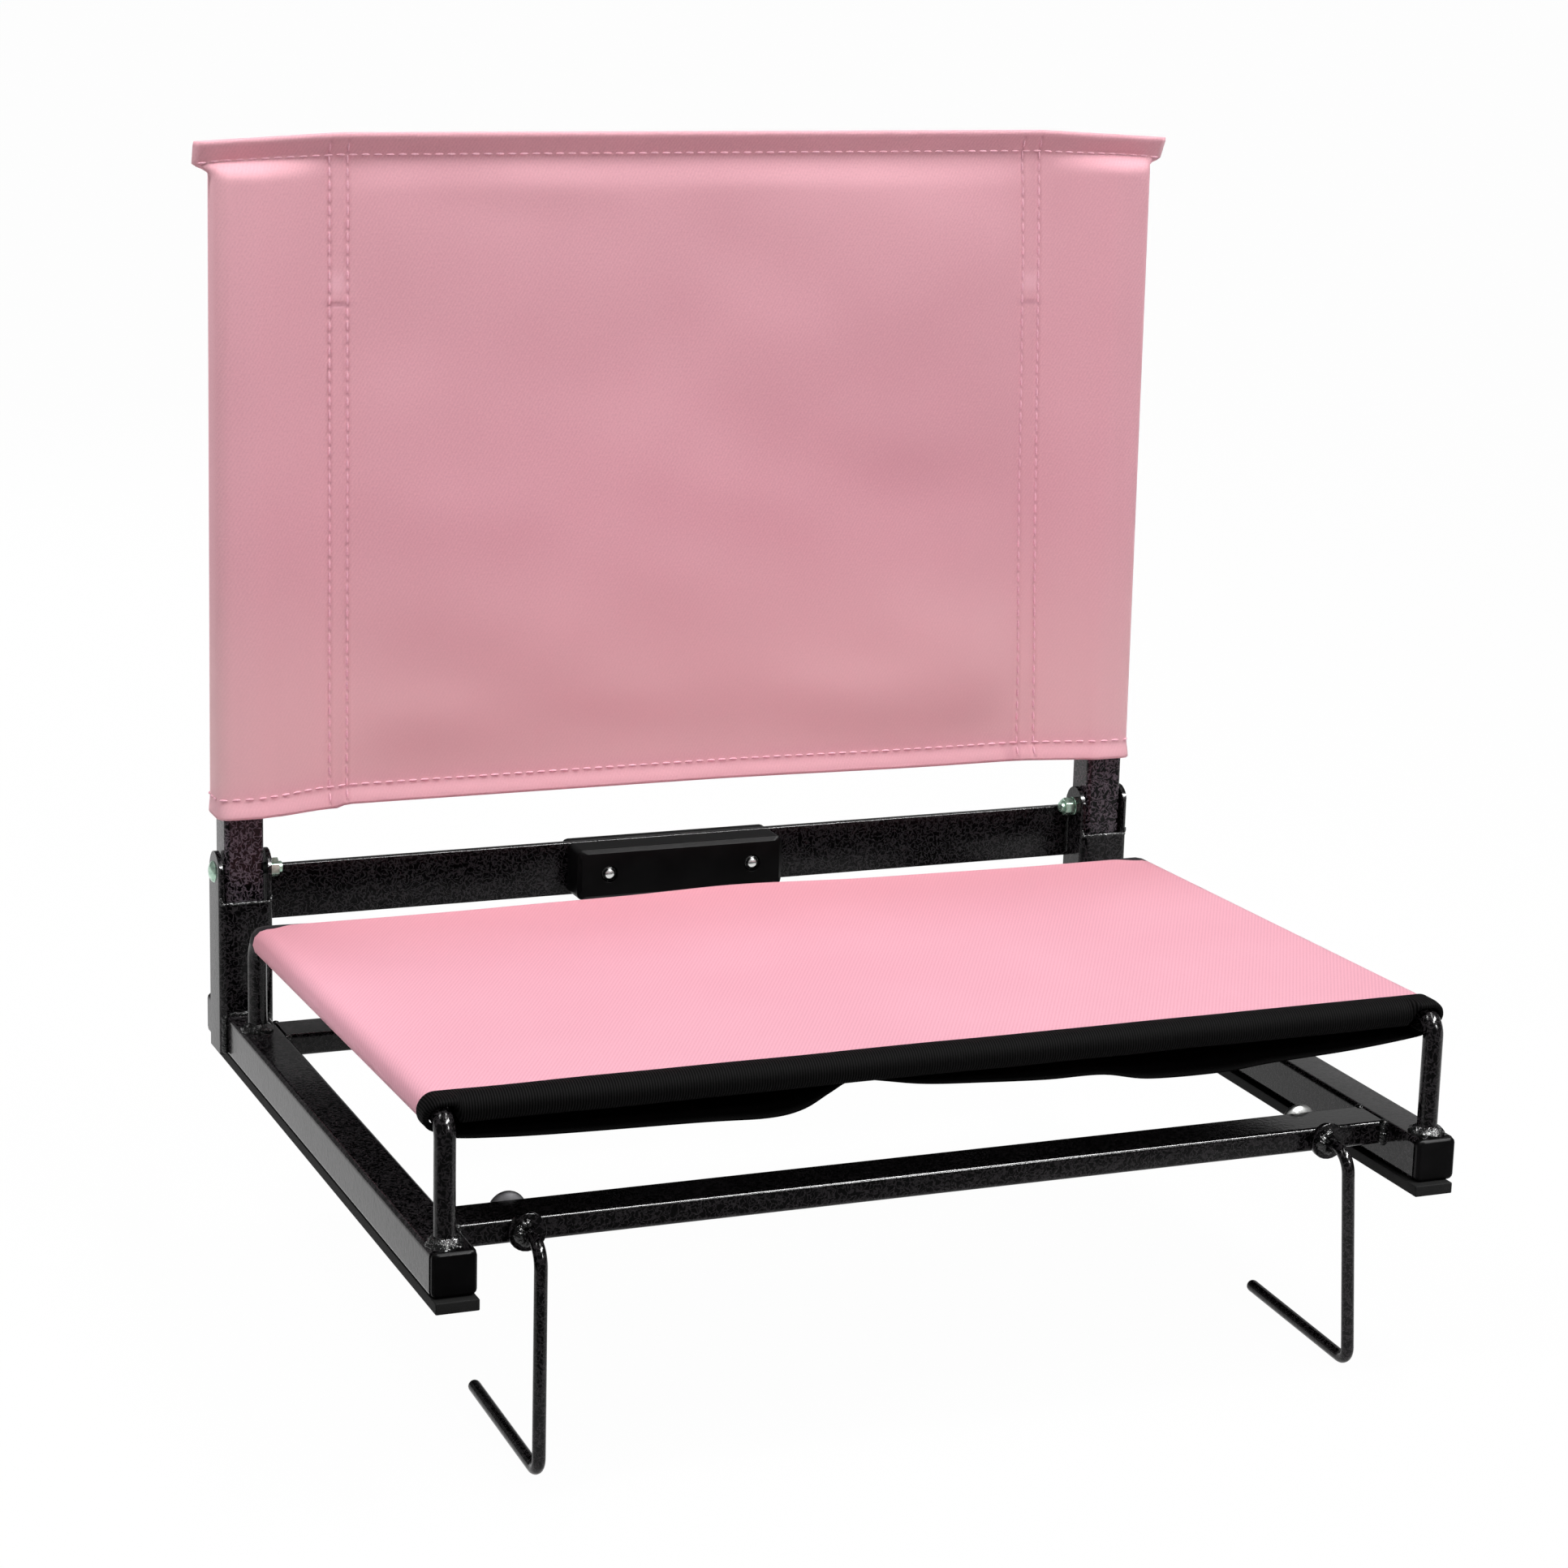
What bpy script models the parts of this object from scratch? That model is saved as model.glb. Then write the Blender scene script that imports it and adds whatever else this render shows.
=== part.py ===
"""Bleacher seat: a folding chair that hooks onto a bench plank.

Metres, +Z up, the seat faces -Y. The origin is on the bench top, under the middle of the rails.
"""
import math

import bmesh
import bpy
from mathutils import Matrix, Vector

# Clearances
TOUCH_GAP = 0.0003
HINGE_GAP = 0.0004

# Square tube of the rails and posts
TUBE = 0.020
TUBE_WALL = 0.0015
TUBE_CORNER = 0.0025
PLUG_HEAD = 0.0035
PLUG_STEM = 0.011
PLUG_CHAMFER = 0.0012

# Base
BASE_WIDTH = 0.4955
RAIL_LENGTH = 0.380
STRIP_HEIGHT = 0.0053
STRIP_WIDTH = 0.0195
STRIP_FRONT_LIP = 0.004
STRIP_REAR_INSET = 0.006
CROSSBAR_DEPTH = 0.023
CROSSBAR_HEIGHT = 0.010
CROSSBAR_WALL = 0.0015
CROSSBAR_CORNER = 0.002
CROSSBAR_DROP = 0.0007
FRONT_CROSSBAR_SETBACK = 0.0275
REAR_CROSSBAR_GAP = 0.016

# Hinge brackets
BRACKET_PLATE = 0.0022
BRACKET_BEND = 0.0035
BRACKET_DEPTH = 0.027
BRACKET_EAR_RISE = 0.0105
BRACKET_LIP_DROP = 0.0155
BRACKET_RELIEF = 0.00015
PIVOT_HEIGHT = 0.1005
PIVOT_SETBACK = 0.019
PIVOT_BOLT = 0.005
PIVOT_HEAD = 0.010
PIVOT_HEAD_HEIGHT = 0.0032
PIVOT_TIP = 0.002
WASHER = 0.010
WASHER_THICKNESS = 0.001
NUT_FLATS = 0.008
NUT_HEIGHT = 0.005

# Carry bar and hand grip
CARRY_BAR_HEIGHT = 0.027
CARRY_BAR_THICKNESS = 0.004
CARRY_BAR_DROP = 0.003
CARRY_BAR_INSET = 0.005
GRIP_WIDTH = 0.113
GRIP_HEIGHT = 0.0265
GRIP_FRONT_DEPTH = 0.018
GRIP_REAR_DEPTH = 0.007
GRIP_CHAMFER = 0.002
GRIP_OFFSET = -0.007
GRIP_SCREW_SPACING = 0.079
GRIP_SCREW = 0.004
GRIP_SCREW_HEAD = 0.006
GRIP_SCREW_HEAD_HEIGHT = 0.002
GRIP_SCREW_BITE = 0.005
GRIP_RECESS = 0.009
GRIP_RECESS_DEPTH = 0.0035

# Seat
SEAT_ROD = 0.0095
SEAT_ROD_BEND = 0.012
SEAT_ROD_FRONT_SETBACK = 0.0065
SEAT_ROD_REAR_GAP = 0.027
SEAT_FRONT_HEIGHT = 0.0810
SEAT_REAR_HEIGHT = 0.0768
SLING_THICKNESS = 0.0015
BINDING_WIDTH = 0.010
BINDING_THICKNESS = 0.0018
BINDING_DROP = 0.0105
FLAP_WIDTH = 0.170
FLAP_SAG = 0.0145

# Back
POST_TAIL = 0.033
COVER_BOTTOM = 0.0280
COVER_HEIGHT = 0.3325
COVER_LAYER = 0.0012
COVER_PANEL = 0.0026
COVER_SLEEVE = 0.05075
COVER_CORNER = 0.005
HEM_HEIGHT = 0.012
HEM_THICKNESS = 0.004
HEM_EAR = 0.0085
HEM_DROOP = 0.004
HEM_SLOPE = 0.011

# Hooks
HOOK_ROD = 0.006
HOOK_INSET = 0.03095
HOOK_REACH = 0.021
HOOK_DROP = 0.104
HOOK_LEG = 0.094
HOOK_LEG_RISE = 0.004
HOOK_TOP_BEND = 0.010
HOOK_LOW_BEND = 0.007
HOOK_COLLAR = 0.0175
HOOK_COLLAR_THICKNESS = 0.003
HOOK_CAP = 0.020
HOOK_CAP_HEIGHT = 0.006
HOOK_CAP_WALL = 0.0015

# Places that follow from the sizes
RAIL_X = BASE_WIDTH / 2 - TUBE / 2
RAIL_FRONT = -RAIL_LENGTH / 2
RAIL_REAR = RAIL_LENGTH / 2
RAIL_BOTTOM = STRIP_HEIGHT + TOUCH_GAP
RAIL_MIDDLE = RAIL_BOTTOM + TUBE / 2
RAIL_TOP = RAIL_BOTTOM + TUBE
CROSSBAR_Z = RAIL_TOP - CROSSBAR_DROP - CROSSBAR_HEIGHT / 2
CROSSBAR_END = RAIL_X - TUBE / 2 - TOUCH_GAP
FRONT_CROSSBAR_Y = RAIL_FRONT + FRONT_CROSSBAR_SETBACK
PIVOT_Y = RAIL_REAR - PIVOT_SETBACK
BRACKET_INSIDE = TUBE + 2 * HINGE_GAP
BRACKET_OUTSIDE = BRACKET_INSIDE + 2 * BRACKET_PLATE
BRACKET_FRONT = PIVOT_Y - TUBE / 2 - TOUCH_GAP - BRACKET_PLATE
BRACKET_TOP = PIVOT_HEIGHT + BRACKET_EAR_RISE
BRACKET_LIP = PIVOT_HEIGHT - BRACKET_LIP_DROP
REAR_CROSSBAR_Y = BRACKET_FRONT - REAR_CROSSBAR_GAP - CROSSBAR_DEPTH
CARRY_BAR_REAR = BRACKET_FRONT + BRACKET_DEPTH - CARRY_BAR_INSET
CARRY_BAR_FRONT = CARRY_BAR_REAR - CARRY_BAR_THICKNESS
CARRY_BAR_END = RAIL_X - BRACKET_OUTSIDE / 2 - TOUCH_GAP
CARRY_BAR_MIDDLE = PIVOT_HEIGHT - CARRY_BAR_DROP - CARRY_BAR_HEIGHT / 2
GRIP_FRONT = CARRY_BAR_FRONT - TOUCH_GAP - GRIP_FRONT_DEPTH
GRIP_REAR = CARRY_BAR_REAR + TOUCH_GAP
SEAT_FRONT_Y = RAIL_FRONT + SEAT_ROD_FRONT_SETBACK
SEAT_ROD_SPAN = BRACKET_FRONT - SEAT_ROD_REAR_GAP - SEAT_FRONT_Y
SEAT_SLOPE = math.atan2(SEAT_FRONT_HEIGHT - SEAT_REAR_HEIGHT, SEAT_ROD_SPAN)
SEAT_RUN = math.hypot(SEAT_FRONT_HEIGHT - SEAT_REAR_HEIGHT, SEAT_ROD_SPAN)
SLEEVE_BORE = SEAT_ROD / 2 + TOUCH_GAP
SLEEVE_PATH = SLEEVE_BORE + SLING_THICKNESS / 2
COVER_TOP = COVER_BOTTOM + COVER_HEIGHT
COVER_SEAM = RAIL_X - COVER_SLEEVE
POST_CHAMBER = TUBE / 2 + TOUCH_GAP
CHAMBER_TOP = COVER_TOP - HEM_HEIGHT - HEM_SLOPE - COVER_LAYER
POST_TOP = CHAMBER_TOP - 2 * TOUCH_GAP - PLUG_HEAD
HOOK_X = CROSSBAR_END - HOOK_INSET

# Start from an empty scene
for item in list(bpy.data.objects):
    bpy.data.objects.remove(item, do_unlink=True)
parts = bpy.data.collections.new("bleacher_seat")
cutters = bpy.data.collections.new("cutters")
bpy.context.scene.collection.children.link(parts)
bpy.context.scene.collection.children.link(cutters)


def finish(name, colour, roughness, metallic):
    made = bpy.data.materials.new(name)
    made.use_nodes = True
    shader = made.node_tree.nodes["Principled BSDF"]
    shader.inputs["Base Color"].default_value = (*colour, 1.0)
    shader.inputs["Roughness"].default_value = roughness
    shader.inputs["Metallic"].default_value = metallic
    made.diffuse_color = (*colour, 1.0)
    return made


powder_coat = finish("powder_coat", (0.012, 0.012, 0.013), 0.38, 0.0)
zinc = finish("zinc", (0.60, 0.61, 0.58), 0.32, 1.0)
black_plastic = finish("black_plastic", (0.014, 0.014, 0.015), 0.45, 0.0)
rubber = finish("rubber", (0.010, 0.010, 0.010), 0.75, 0.0)
pink_cloth = finish("pink_cloth", (0.78, 0.33, 0.43), 0.85, 0.0)
black_cloth = finish("black_cloth", (0.010, 0.010, 0.011), 0.90, 0.0)


def place(name, mesh, material, parent=None, location=(0, 0, 0), rotation=(0, 0, 0)):
    mesh.materials.append(material)
    mesh.shade_smooth()
    mesh.set_sharp_from_angle(angle=math.radians(35))
    item = bpy.data.objects.new(name, mesh)
    item.location = location
    item.rotation_euler = rotation
    item.parent = parent
    parts.objects.link(item)
    return item


def joint_empty(name, location, rotation=(0, 0, 0)):
    item = bpy.data.objects.new(name, None)
    item.location = location
    item.rotation_euler = rotation
    item.empty_display_size = 0.02
    parts.objects.link(item)
    return item


def cutter(name, mesh, parent=None, location=(0, 0, 0), rotation=(0, 0, 0)):
    tool = bpy.data.objects.new(name, mesh)
    tool.location = location
    tool.rotation_euler = rotation
    tool.parent = parent
    tool.hide_render = True
    tool.display_type = "WIRE"
    cutters.objects.link(tool)
    return tool


def cut(target, tool, operation="DIFFERENCE"):
    boolean = target.modifiers.new(tool.name, "BOOLEAN")
    boolean.operation = operation
    boolean.solver = "EXACT"
    boolean.object = tool


def arc(centre, radius, start, end, steps):
    turns = [math.radians(start + (end - start) * step / steps) for step in range(steps + 1)]
    return [(centre[0] + radius * math.cos(turn), centre[1] + radius * math.sin(turn)) for turn in turns]


def circle(centre, radius, steps=24):
    return arc(centre, radius, 0, 360, steps)[:-1]


def rectangle(width, height, radius=0.0, steps=3):
    x = width / 2 - radius
    y = height / 2 - radius
    if radius == 0.0:
        return [(x, y), (-x, y), (-x, -y), (x, -y)]
    corners = (((x, y), 0), ((-x, y), 90), ((-x, -y), 180), ((x, -y), 270))
    return [point for centre, turn in corners for point in arc(centre, radius, turn, turn + 90, steps)]


def lay(a, b, along, axis):
    return {"X": (along, a, b), "Y": (a, along, b), "Z": (a, b, along)}[axis]


def to_mesh(name, bm):
    bmesh.ops.recalc_face_normals(bm, faces=bm.faces)
    mesh = bpy.data.meshes.new(name)
    bm.to_mesh(mesh)
    bm.free()
    return mesh


def prism(name, outlines, start, end, axis):
    bm = bmesh.new()
    edges = []
    for outline in outlines:
        ring = [bm.verts.new(lay(a, b, start, axis)) for a, b in outline]
        edges += [bm.edges.new((ring[step - 1], ring[step])) for step in range(len(ring))]
    bmesh.ops.triangle_fill(bm, edges=edges, use_beauty=True, use_dissolve=False)
    pushed = bmesh.ops.extrude_face_region(bm, geom=bm.faces[:])
    far_side = [item for item in pushed["geom"] if isinstance(item, bmesh.types.BMVert)]
    bmesh.ops.translate(bm, verts=far_side, vec=lay(0, 0, end - start, axis))
    return to_mesh(name, bm)


def loft(name, rings):
    bm = bmesh.new()
    rows = [[bm.verts.new(point) for point in ring] for ring in rings]
    for near, far in zip(rows, rows[1:]):
        for step in range(len(near)):
            bm.faces.new((near[step - 1], near[step], far[step], far[step - 1]))
    for row in (rows[0], rows[-1]):
        edges = [bm.edges.get((row[step - 1], row[step])) for step in range(len(row))]
        bmesh.ops.triangle_fill(bm, edges=edges, use_beauty=True, use_dissolve=False)
    return to_mesh(name, bm)


def drum(name, radius, start, end, axis):
    bm = bmesh.new()
    bmesh.ops.create_cone(
        bm, cap_ends=True, segments=24, radius1=radius, radius2=radius, depth=end - start
    )
    bmesh.ops.translate(bm, verts=bm.verts, vec=(0, 0, (start + end) / 2))
    aim = {"X": Matrix.Rotation(math.pi / 2, 4, "Y"), "Y": Matrix.Rotation(-math.pi / 2, 4, "X")}[axis]
    bmesh.ops.transform(bm, matrix=aim, verts=bm.verts)
    return to_mesh(name, bm)


def half_round(radius, height, steps=6):
    bulge = [(radius * x, height * z) for x, z in arc((0, 0), 1, 90, 0, steps)]
    return [(0, height)] + bulge[1:-1] + [(radius, 0)]


def profile(name, outline):
    mesh = bpy.data.meshes.new(name)
    edges = [(step, step + 1) for step in range(len(outline) - 1)]
    mesh.from_pydata([(radius, 0, height) for radius, height in outline], edges, [])
    return mesh


def turn_profile(item, steps):
    turn = item.modifiers.new("Turn", "SCREW")
    turn.steps = steps
    turn.render_steps = steps
    turn.use_merge_vertices = True
    turn.merge_threshold = 0.00001


def turned(name, outline, material, parent=None, location=(0, 0, 0), rotation=(0, 0, 0), steps=24):
    item = place(name, profile(name, outline), material, parent, location, rotation)
    turn_profile(item, steps)
    return item


def bent_path(corners, radii, steps=8):
    points = [Vector(corners[0])]
    for before, corner, after, radius in zip(corners, corners[1:], corners[2:], radii):
        corner = Vector(corner)
        inward = (corner - Vector(before)).normalized()
        outward = (Vector(after) - corner).normalized()
        turn = inward.angle(outward)
        start = corner - inward * radius * math.tan(turn / 2)
        centre = corner + (outward - inward).normalized() * radius / math.cos(turn / 2)
        spoke = (start - centre)
        for step in range(steps + 1):
            angle = turn * step / steps
            points.append(centre + spoke * math.cos(angle) + inward * radius * math.sin(angle))
    points.append(Vector(corners[-1]))
    return points


def bent_rod(name, diameter, corners, radii, material, parent=None, location=(0, 0, 0)):
    path = bent_path(corners, radii)
    curve = bpy.data.curves.new(name, "CURVE")
    curve.dimensions = "3D"
    curve.bevel_depth = diameter / 2
    curve.bevel_resolution = 4
    curve.use_fill_caps = True
    spline = curve.splines.new("POLY")
    spline.points.add(len(path) - 1)
    for point, spot in zip(spline.points, path):
        point.co = (*spot, 1.0)
    spline.use_smooth = True
    curve.materials.append(material)
    item = bpy.data.objects.new(name, curve)
    item.location = location
    item.parent = parent
    parts.objects.link(item)
    return item


def square_tube(name, length_from, length_to, axis):
    bore = rectangle(TUBE - 2 * TUBE_WALL, TUBE - 2 * TUBE_WALL)
    return prism(name, [rectangle(TUBE, TUBE, TUBE_CORNER), bore], length_from, length_to, axis)


def tube_plug(name, parent, location, rotation):
    stem = TUBE - 2 * TUBE_WALL - 2 * TOUCH_GAP
    rim = TUBE - 2 * PLUG_CHAMFER
    levels = (
        (stem, -PLUG_STEM),
        (stem, 0),
        (TUBE, 0),
        (TUBE, PLUG_HEAD - PLUG_CHAMFER),
        (rim, PLUG_HEAD),
    )
    rings = [[(x, y, height) for x, y in rectangle(side, side, TUBE_CORNER)] for side, height in levels]
    place(name, loft(name, rings), black_plastic, parent, location, rotation)


# Rails with their end plugs and rubber strips
for side, x in (("left", -RAIL_X), ("right", RAIL_X)):
    rail = square_tube(f"{side}_rail", RAIL_FRONT, RAIL_REAR, "Y")
    place(f"{side}_rail", rail, powder_coat, location=(x, 0, RAIL_MIDDLE))
    tube_plug(f"{side}_front_plug", None, (x, RAIL_FRONT - TOUCH_GAP, RAIL_MIDDLE), (math.pi / 2, 0, 0))
    tube_plug(f"{side}_rear_plug", None, (x, RAIL_REAR + TOUCH_GAP, RAIL_MIDDLE), (-math.pi / 2, 0, 0))
    strip_front = RAIL_FRONT - TOUCH_GAP - PLUG_HEAD - STRIP_FRONT_LIP
    strip_outline = rectangle(STRIP_WIDTH, STRIP_HEIGHT)
    strip = prism(f"{side}_bench_strip", [strip_outline], strip_front, RAIL_REAR - STRIP_REAR_INSET, "Y")
    place(f"{side}_bench_strip", strip, rubber, location=(x, 0, STRIP_HEIGHT / 2))


# Crossbars between the rails, the front one bored for the hooks
def crossbar(name, front_y):
    outer = rectangle(CROSSBAR_DEPTH, CROSSBAR_HEIGHT, CROSSBAR_CORNER)
    bore = rectangle(CROSSBAR_DEPTH - 2 * CROSSBAR_WALL, CROSSBAR_HEIGHT - 2 * CROSSBAR_WALL)
    mesh = prism(name, [outer, bore], -CROSSBAR_END, CROSSBAR_END, "X")
    return place(name, mesh, powder_coat, location=(0, front_y + CROSSBAR_DEPTH / 2, CROSSBAR_Z))


front_crossbar = crossbar("front_crossbar", FRONT_CROSSBAR_Y)
crossbar("rear_crossbar", REAR_CROSSBAR_Y)
for side, x in (("left", -HOOK_X), ("right", HOOK_X)):
    name = f"{side}_hook_bore"
    bore = drum(name, HOOK_ROD / 2 + TOUCH_GAP, -CROSSBAR_DEPTH, CROSSBAR_DEPTH, "Y")
    cut(front_crossbar, cutter(name, bore, None, (x, FRONT_CROSSBAR_Y + CROSSBAR_DEPTH / 2, CROSSBAR_Z)))


# Hinge brackets: a bent U of plate, cut to rounded ears, open over the web and astride the rail
def hinge_bracket(side, x):
    name = f"{side}_hinge_bracket"
    half = BRACKET_OUTSIDE / 2
    inner = BRACKET_INSIDE / 2
    outline = [(-half, BRACKET_DEPTH)]
    outline += arc((-half + BRACKET_BEND, BRACKET_BEND), BRACKET_BEND, 180, 270, 4)
    outline += arc((half - BRACKET_BEND, BRACKET_BEND), BRACKET_BEND, 270, 360, 4)
    outline += [(half, BRACKET_DEPTH), (inner, BRACKET_DEPTH), (inner, BRACKET_PLATE)]
    outline += [(-inner, BRACKET_PLATE), (-inner, BRACKET_DEPTH)]
    mesh = prism(name, [outline], RAIL_BOTTOM, BRACKET_TOP + BRACKET_PLATE, "Z")
    bracket = place(name, mesh, powder_coat, location=(x, BRACKET_FRONT, 0))

    round_centre = (BRACKET_DEPTH / 2, BRACKET_TOP - BRACKET_DEPTH / 2)
    ears = arc(round_centre, BRACKET_DEPTH / 2 + TOUCH_GAP, 0, 180, 12)
    ears += [(-TOUCH_GAP, 0), (BRACKET_DEPTH + TOUCH_GAP, 0)]
    trim = prism(f"{name}_trim", [ears], -BRACKET_OUTSIDE, BRACKET_OUTSIDE, "X")
    cut(bracket, cutter(f"{name}_trim", trim, None, (x, BRACKET_FRONT, 0)), "INTERSECT")

    mouth_height = BRACKET_TOP - BRACKET_LIP + 2 * BRACKET_BEND
    mouth = rectangle(BRACKET_INSIDE + 2 * BRACKET_RELIEF, mouth_height, BRACKET_BEND)
    mouth_z = BRACKET_LIP + (BRACKET_TOP - BRACKET_LIP) / 2 + BRACKET_BEND
    opening = prism(f"{name}_mouth", [mouth], -BRACKET_PLATE, 2 * BRACKET_PLATE, "Y")
    cut(bracket, cutter(f"{name}_mouth", opening, None, (x, BRACKET_FRONT, mouth_z)))

    saddle = rectangle(BRACKET_INSIDE + 2 * BRACKET_RELIEF, 2 * (RAIL_TOP + TOUCH_GAP))
    notch = prism(f"{name}_saddle", [saddle], -BRACKET_PLATE, 2 * BRACKET_PLATE, "Y")
    cut(bracket, cutter(f"{name}_saddle", notch, None, (x, BRACKET_FRONT, 0)))

    hole = drum(f"{name}_bore", PIVOT_BOLT / 2 + TOUCH_GAP, -BRACKET_OUTSIDE, BRACKET_OUTSIDE, "X")
    cut(bracket, cutter(f"{name}_bore", hole, None, (x, PIVOT_Y, PIVOT_HEIGHT)))


hinge_bracket("left", -RAIL_X)
hinge_bracket("right", RAIL_X)


# Pivot hardware: bolt from outside, washer and nut on the inner ear
for side, out in (("left", -1), ("right", 1)):
    x = out * RAIL_X
    head_seat = BRACKET_OUTSIDE / 2 + TOUCH_GAP
    washer_near = BRACKET_OUTSIDE / 2 + TOUCH_GAP
    washer_far = washer_near + WASHER_THICKNESS
    nut_near = washer_far + TOUCH_GAP
    nut_far = nut_near + NUT_HEIGHT
    bolt = [(radius, head_seat + height) for radius, height in half_round(PIVOT_HEAD / 2, PIVOT_HEAD_HEIGHT)]
    bolt += [(PIVOT_BOLT / 2, head_seat), (PIVOT_BOLT / 2, -nut_far - PIVOT_TIP), (0, -nut_far - PIVOT_TIP)]
    turned(f"{side}_pivot_bolt", bolt, zinc, None, (x, PIVOT_Y, PIVOT_HEIGHT), (0, out * math.pi / 2, 0))

    hole = circle((0, 0), PIVOT_BOLT / 2 + TOUCH_GAP)
    washer = prism(f"{side}_pivot_washer", [circle((0, 0), WASHER / 2), hole],
                   -out * washer_near, -out * washer_far, "X")
    place(f"{side}_pivot_washer", washer, zinc, location=(x, PIVOT_Y, PIVOT_HEIGHT))
    hexagon = circle((0, 0), NUT_FLATS / 2 / math.cos(math.pi / 6), 6)
    upright_hexagon = [(-b, a) for a, b in hexagon]
    nut = prism(f"{side}_pivot_nut", [upright_hexagon, hole], -out * nut_near, -out * nut_far, "X")
    place(f"{side}_pivot_nut", nut, zinc, location=(x, PIVOT_Y, PIVOT_HEIGHT))


# Carry bar and the two halves of the hand grip that its screws clamp on
screw_spots = [GRIP_OFFSET - GRIP_SCREW_SPACING / 2, GRIP_OFFSET + GRIP_SCREW_SPACING / 2]
bar_outline = [(x, z + CARRY_BAR_MIDDLE) for x, z in rectangle(2 * CARRY_BAR_END, CARRY_BAR_HEIGHT)]
bar_holes = [circle((x, CARRY_BAR_MIDDLE), GRIP_SCREW / 2 + TOUCH_GAP) for x in screw_spots]
carry_bar = prism("carry_bar", [bar_outline] + bar_holes, CARRY_BAR_FRONT, CARRY_BAR_REAR, "Y")
place("carry_bar", carry_bar, powder_coat)


def grip_half(name, inner_y, outer_y):
    rim_y = outer_y + math.copysign(GRIP_CHAMFER, inner_y - outer_y)
    rings = []
    for shrink, y in ((0, inner_y), (0, rim_y), (GRIP_CHAMFER, outer_y)):
        outline = rectangle(GRIP_WIDTH - 2 * shrink, GRIP_HEIGHT - 2 * shrink, 1.5 * GRIP_CHAMFER)
        rings.append([(x, y, z) for x, z in outline])
    return place(name, loft(name, rings), black_plastic, location=(GRIP_OFFSET, 0, CARRY_BAR_MIDDLE))


grip_front = grip_half("grip_front", GRIP_FRONT + GRIP_FRONT_DEPTH, GRIP_FRONT)
grip_rear = grip_half("grip_rear", GRIP_REAR, GRIP_REAR + GRIP_REAR_DEPTH)
screw_seat = GRIP_FRONT + GRIP_RECESS_DEPTH
screw_tip = screw_seat - GRIP_REAR - GRIP_SCREW_BITE
for side, x in zip(("left", "right"), screw_spots):
    name = f"{side}_grip_screw"
    spot = (x, screw_seat, CARRY_BAR_MIDDLE)
    front = (math.pi / 2, 0, 0)
    screw = half_round(GRIP_SCREW_HEAD / 2, GRIP_SCREW_HEAD_HEIGHT)
    screw += [(GRIP_SCREW / 2, 0), (GRIP_SCREW / 2, screw_tip), (0, screw_tip)]
    turned(name, screw, zinc, None, spot, front, steps=16)
    bore = GRIP_SCREW / 2 + TOUCH_GAP
    mouth = 2 * GRIP_RECESS_DEPTH
    well = [(0, mouth), (GRIP_RECESS / 2, mouth), (GRIP_RECESS / 2, -TOUCH_GAP)]
    well += [(bore, -TOUCH_GAP), (bore, screw_tip - TOUCH_GAP), (0, screw_tip - TOUCH_GAP)]
    well_tool = cutter(f"{name}_well", profile(f"{name}_well", well), location=spot, rotation=front)
    turn_profile(well_tool, 24)
    cut(grip_front, well_tool)
    cut(grip_rear, well_tool)


# Seat rods, bent to an upside-down U and standing on the rails
rod_foot = RAIL_TOP + TOUCH_GAP
for side, x in (("left", -RAIL_X), ("right", RAIL_X)):
    corners = [
        (0, 0, rod_foot),
        (0, 0, SEAT_FRONT_HEIGHT),
        (0, SEAT_ROD_SPAN, SEAT_REAR_HEIGHT),
        (0, SEAT_ROD_SPAN, rod_foot),
    ]
    bends = [SEAT_ROD_BEND, SEAT_ROD_BEND]
    bent_rod(f"{side}_seat_rod", SEAT_ROD, corners, bends, powder_coat, None, (x, SEAT_FRONT_Y, 0))

# The straight run of the rods carries the seat cloth, laid out from its front end
front_bend_reach = SEAT_ROD_BEND * math.tan((math.pi / 2 + SEAT_SLOPE) / 2)
rear_bend_reach = SEAT_ROD_BEND * math.tan((math.pi / 2 - SEAT_SLOPE) / 2)
run_length = SEAT_RUN - front_bend_reach - rear_bend_reach
run_start_y = SEAT_FRONT_Y + front_bend_reach * math.cos(SEAT_SLOPE)
run_start_z = SEAT_FRONT_HEIGHT - front_bend_reach * math.sin(SEAT_SLOPE)
seat_run = joint_empty("seat_run", (0, run_start_y, run_start_z), (-SEAT_SLOPE, 0, 0))


def cloth_strip(name, chain, near_y, far_y, material):
    bm = bmesh.new()
    near = [bm.verts.new((x, near_y, z)) for x, z in chain]
    far = [bm.verts.new((x, far_y, z)) for x, z in chain]
    for step in range(len(chain) - 1):
        bm.faces.new((near[step], near[step + 1], far[step + 1], far[step]))
    mesh = bpy.data.meshes.new(name)
    bm.to_mesh(mesh)
    bm.free()
    item = place(name, mesh, material, seat_run)
    thicken = item.modifiers.new("Thickness", "SOLIDIFY")
    thicken.thickness = SLING_THICKNESS
    thicken.offset = 0
    thicken.use_even_offset = True
    return item


sling_chain = arc((-RAIL_X, 0), SLEEVE_PATH, 270, 90, 12) + arc((RAIL_X, 0), SLEEVE_PATH, 90, -90, 12)
cloth_end = run_length - TOUCH_GAP
cloth_strip("seat_sling", sling_chain, BINDING_WIDTH + TOUCH_GAP, cloth_end, pink_cloth)

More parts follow.
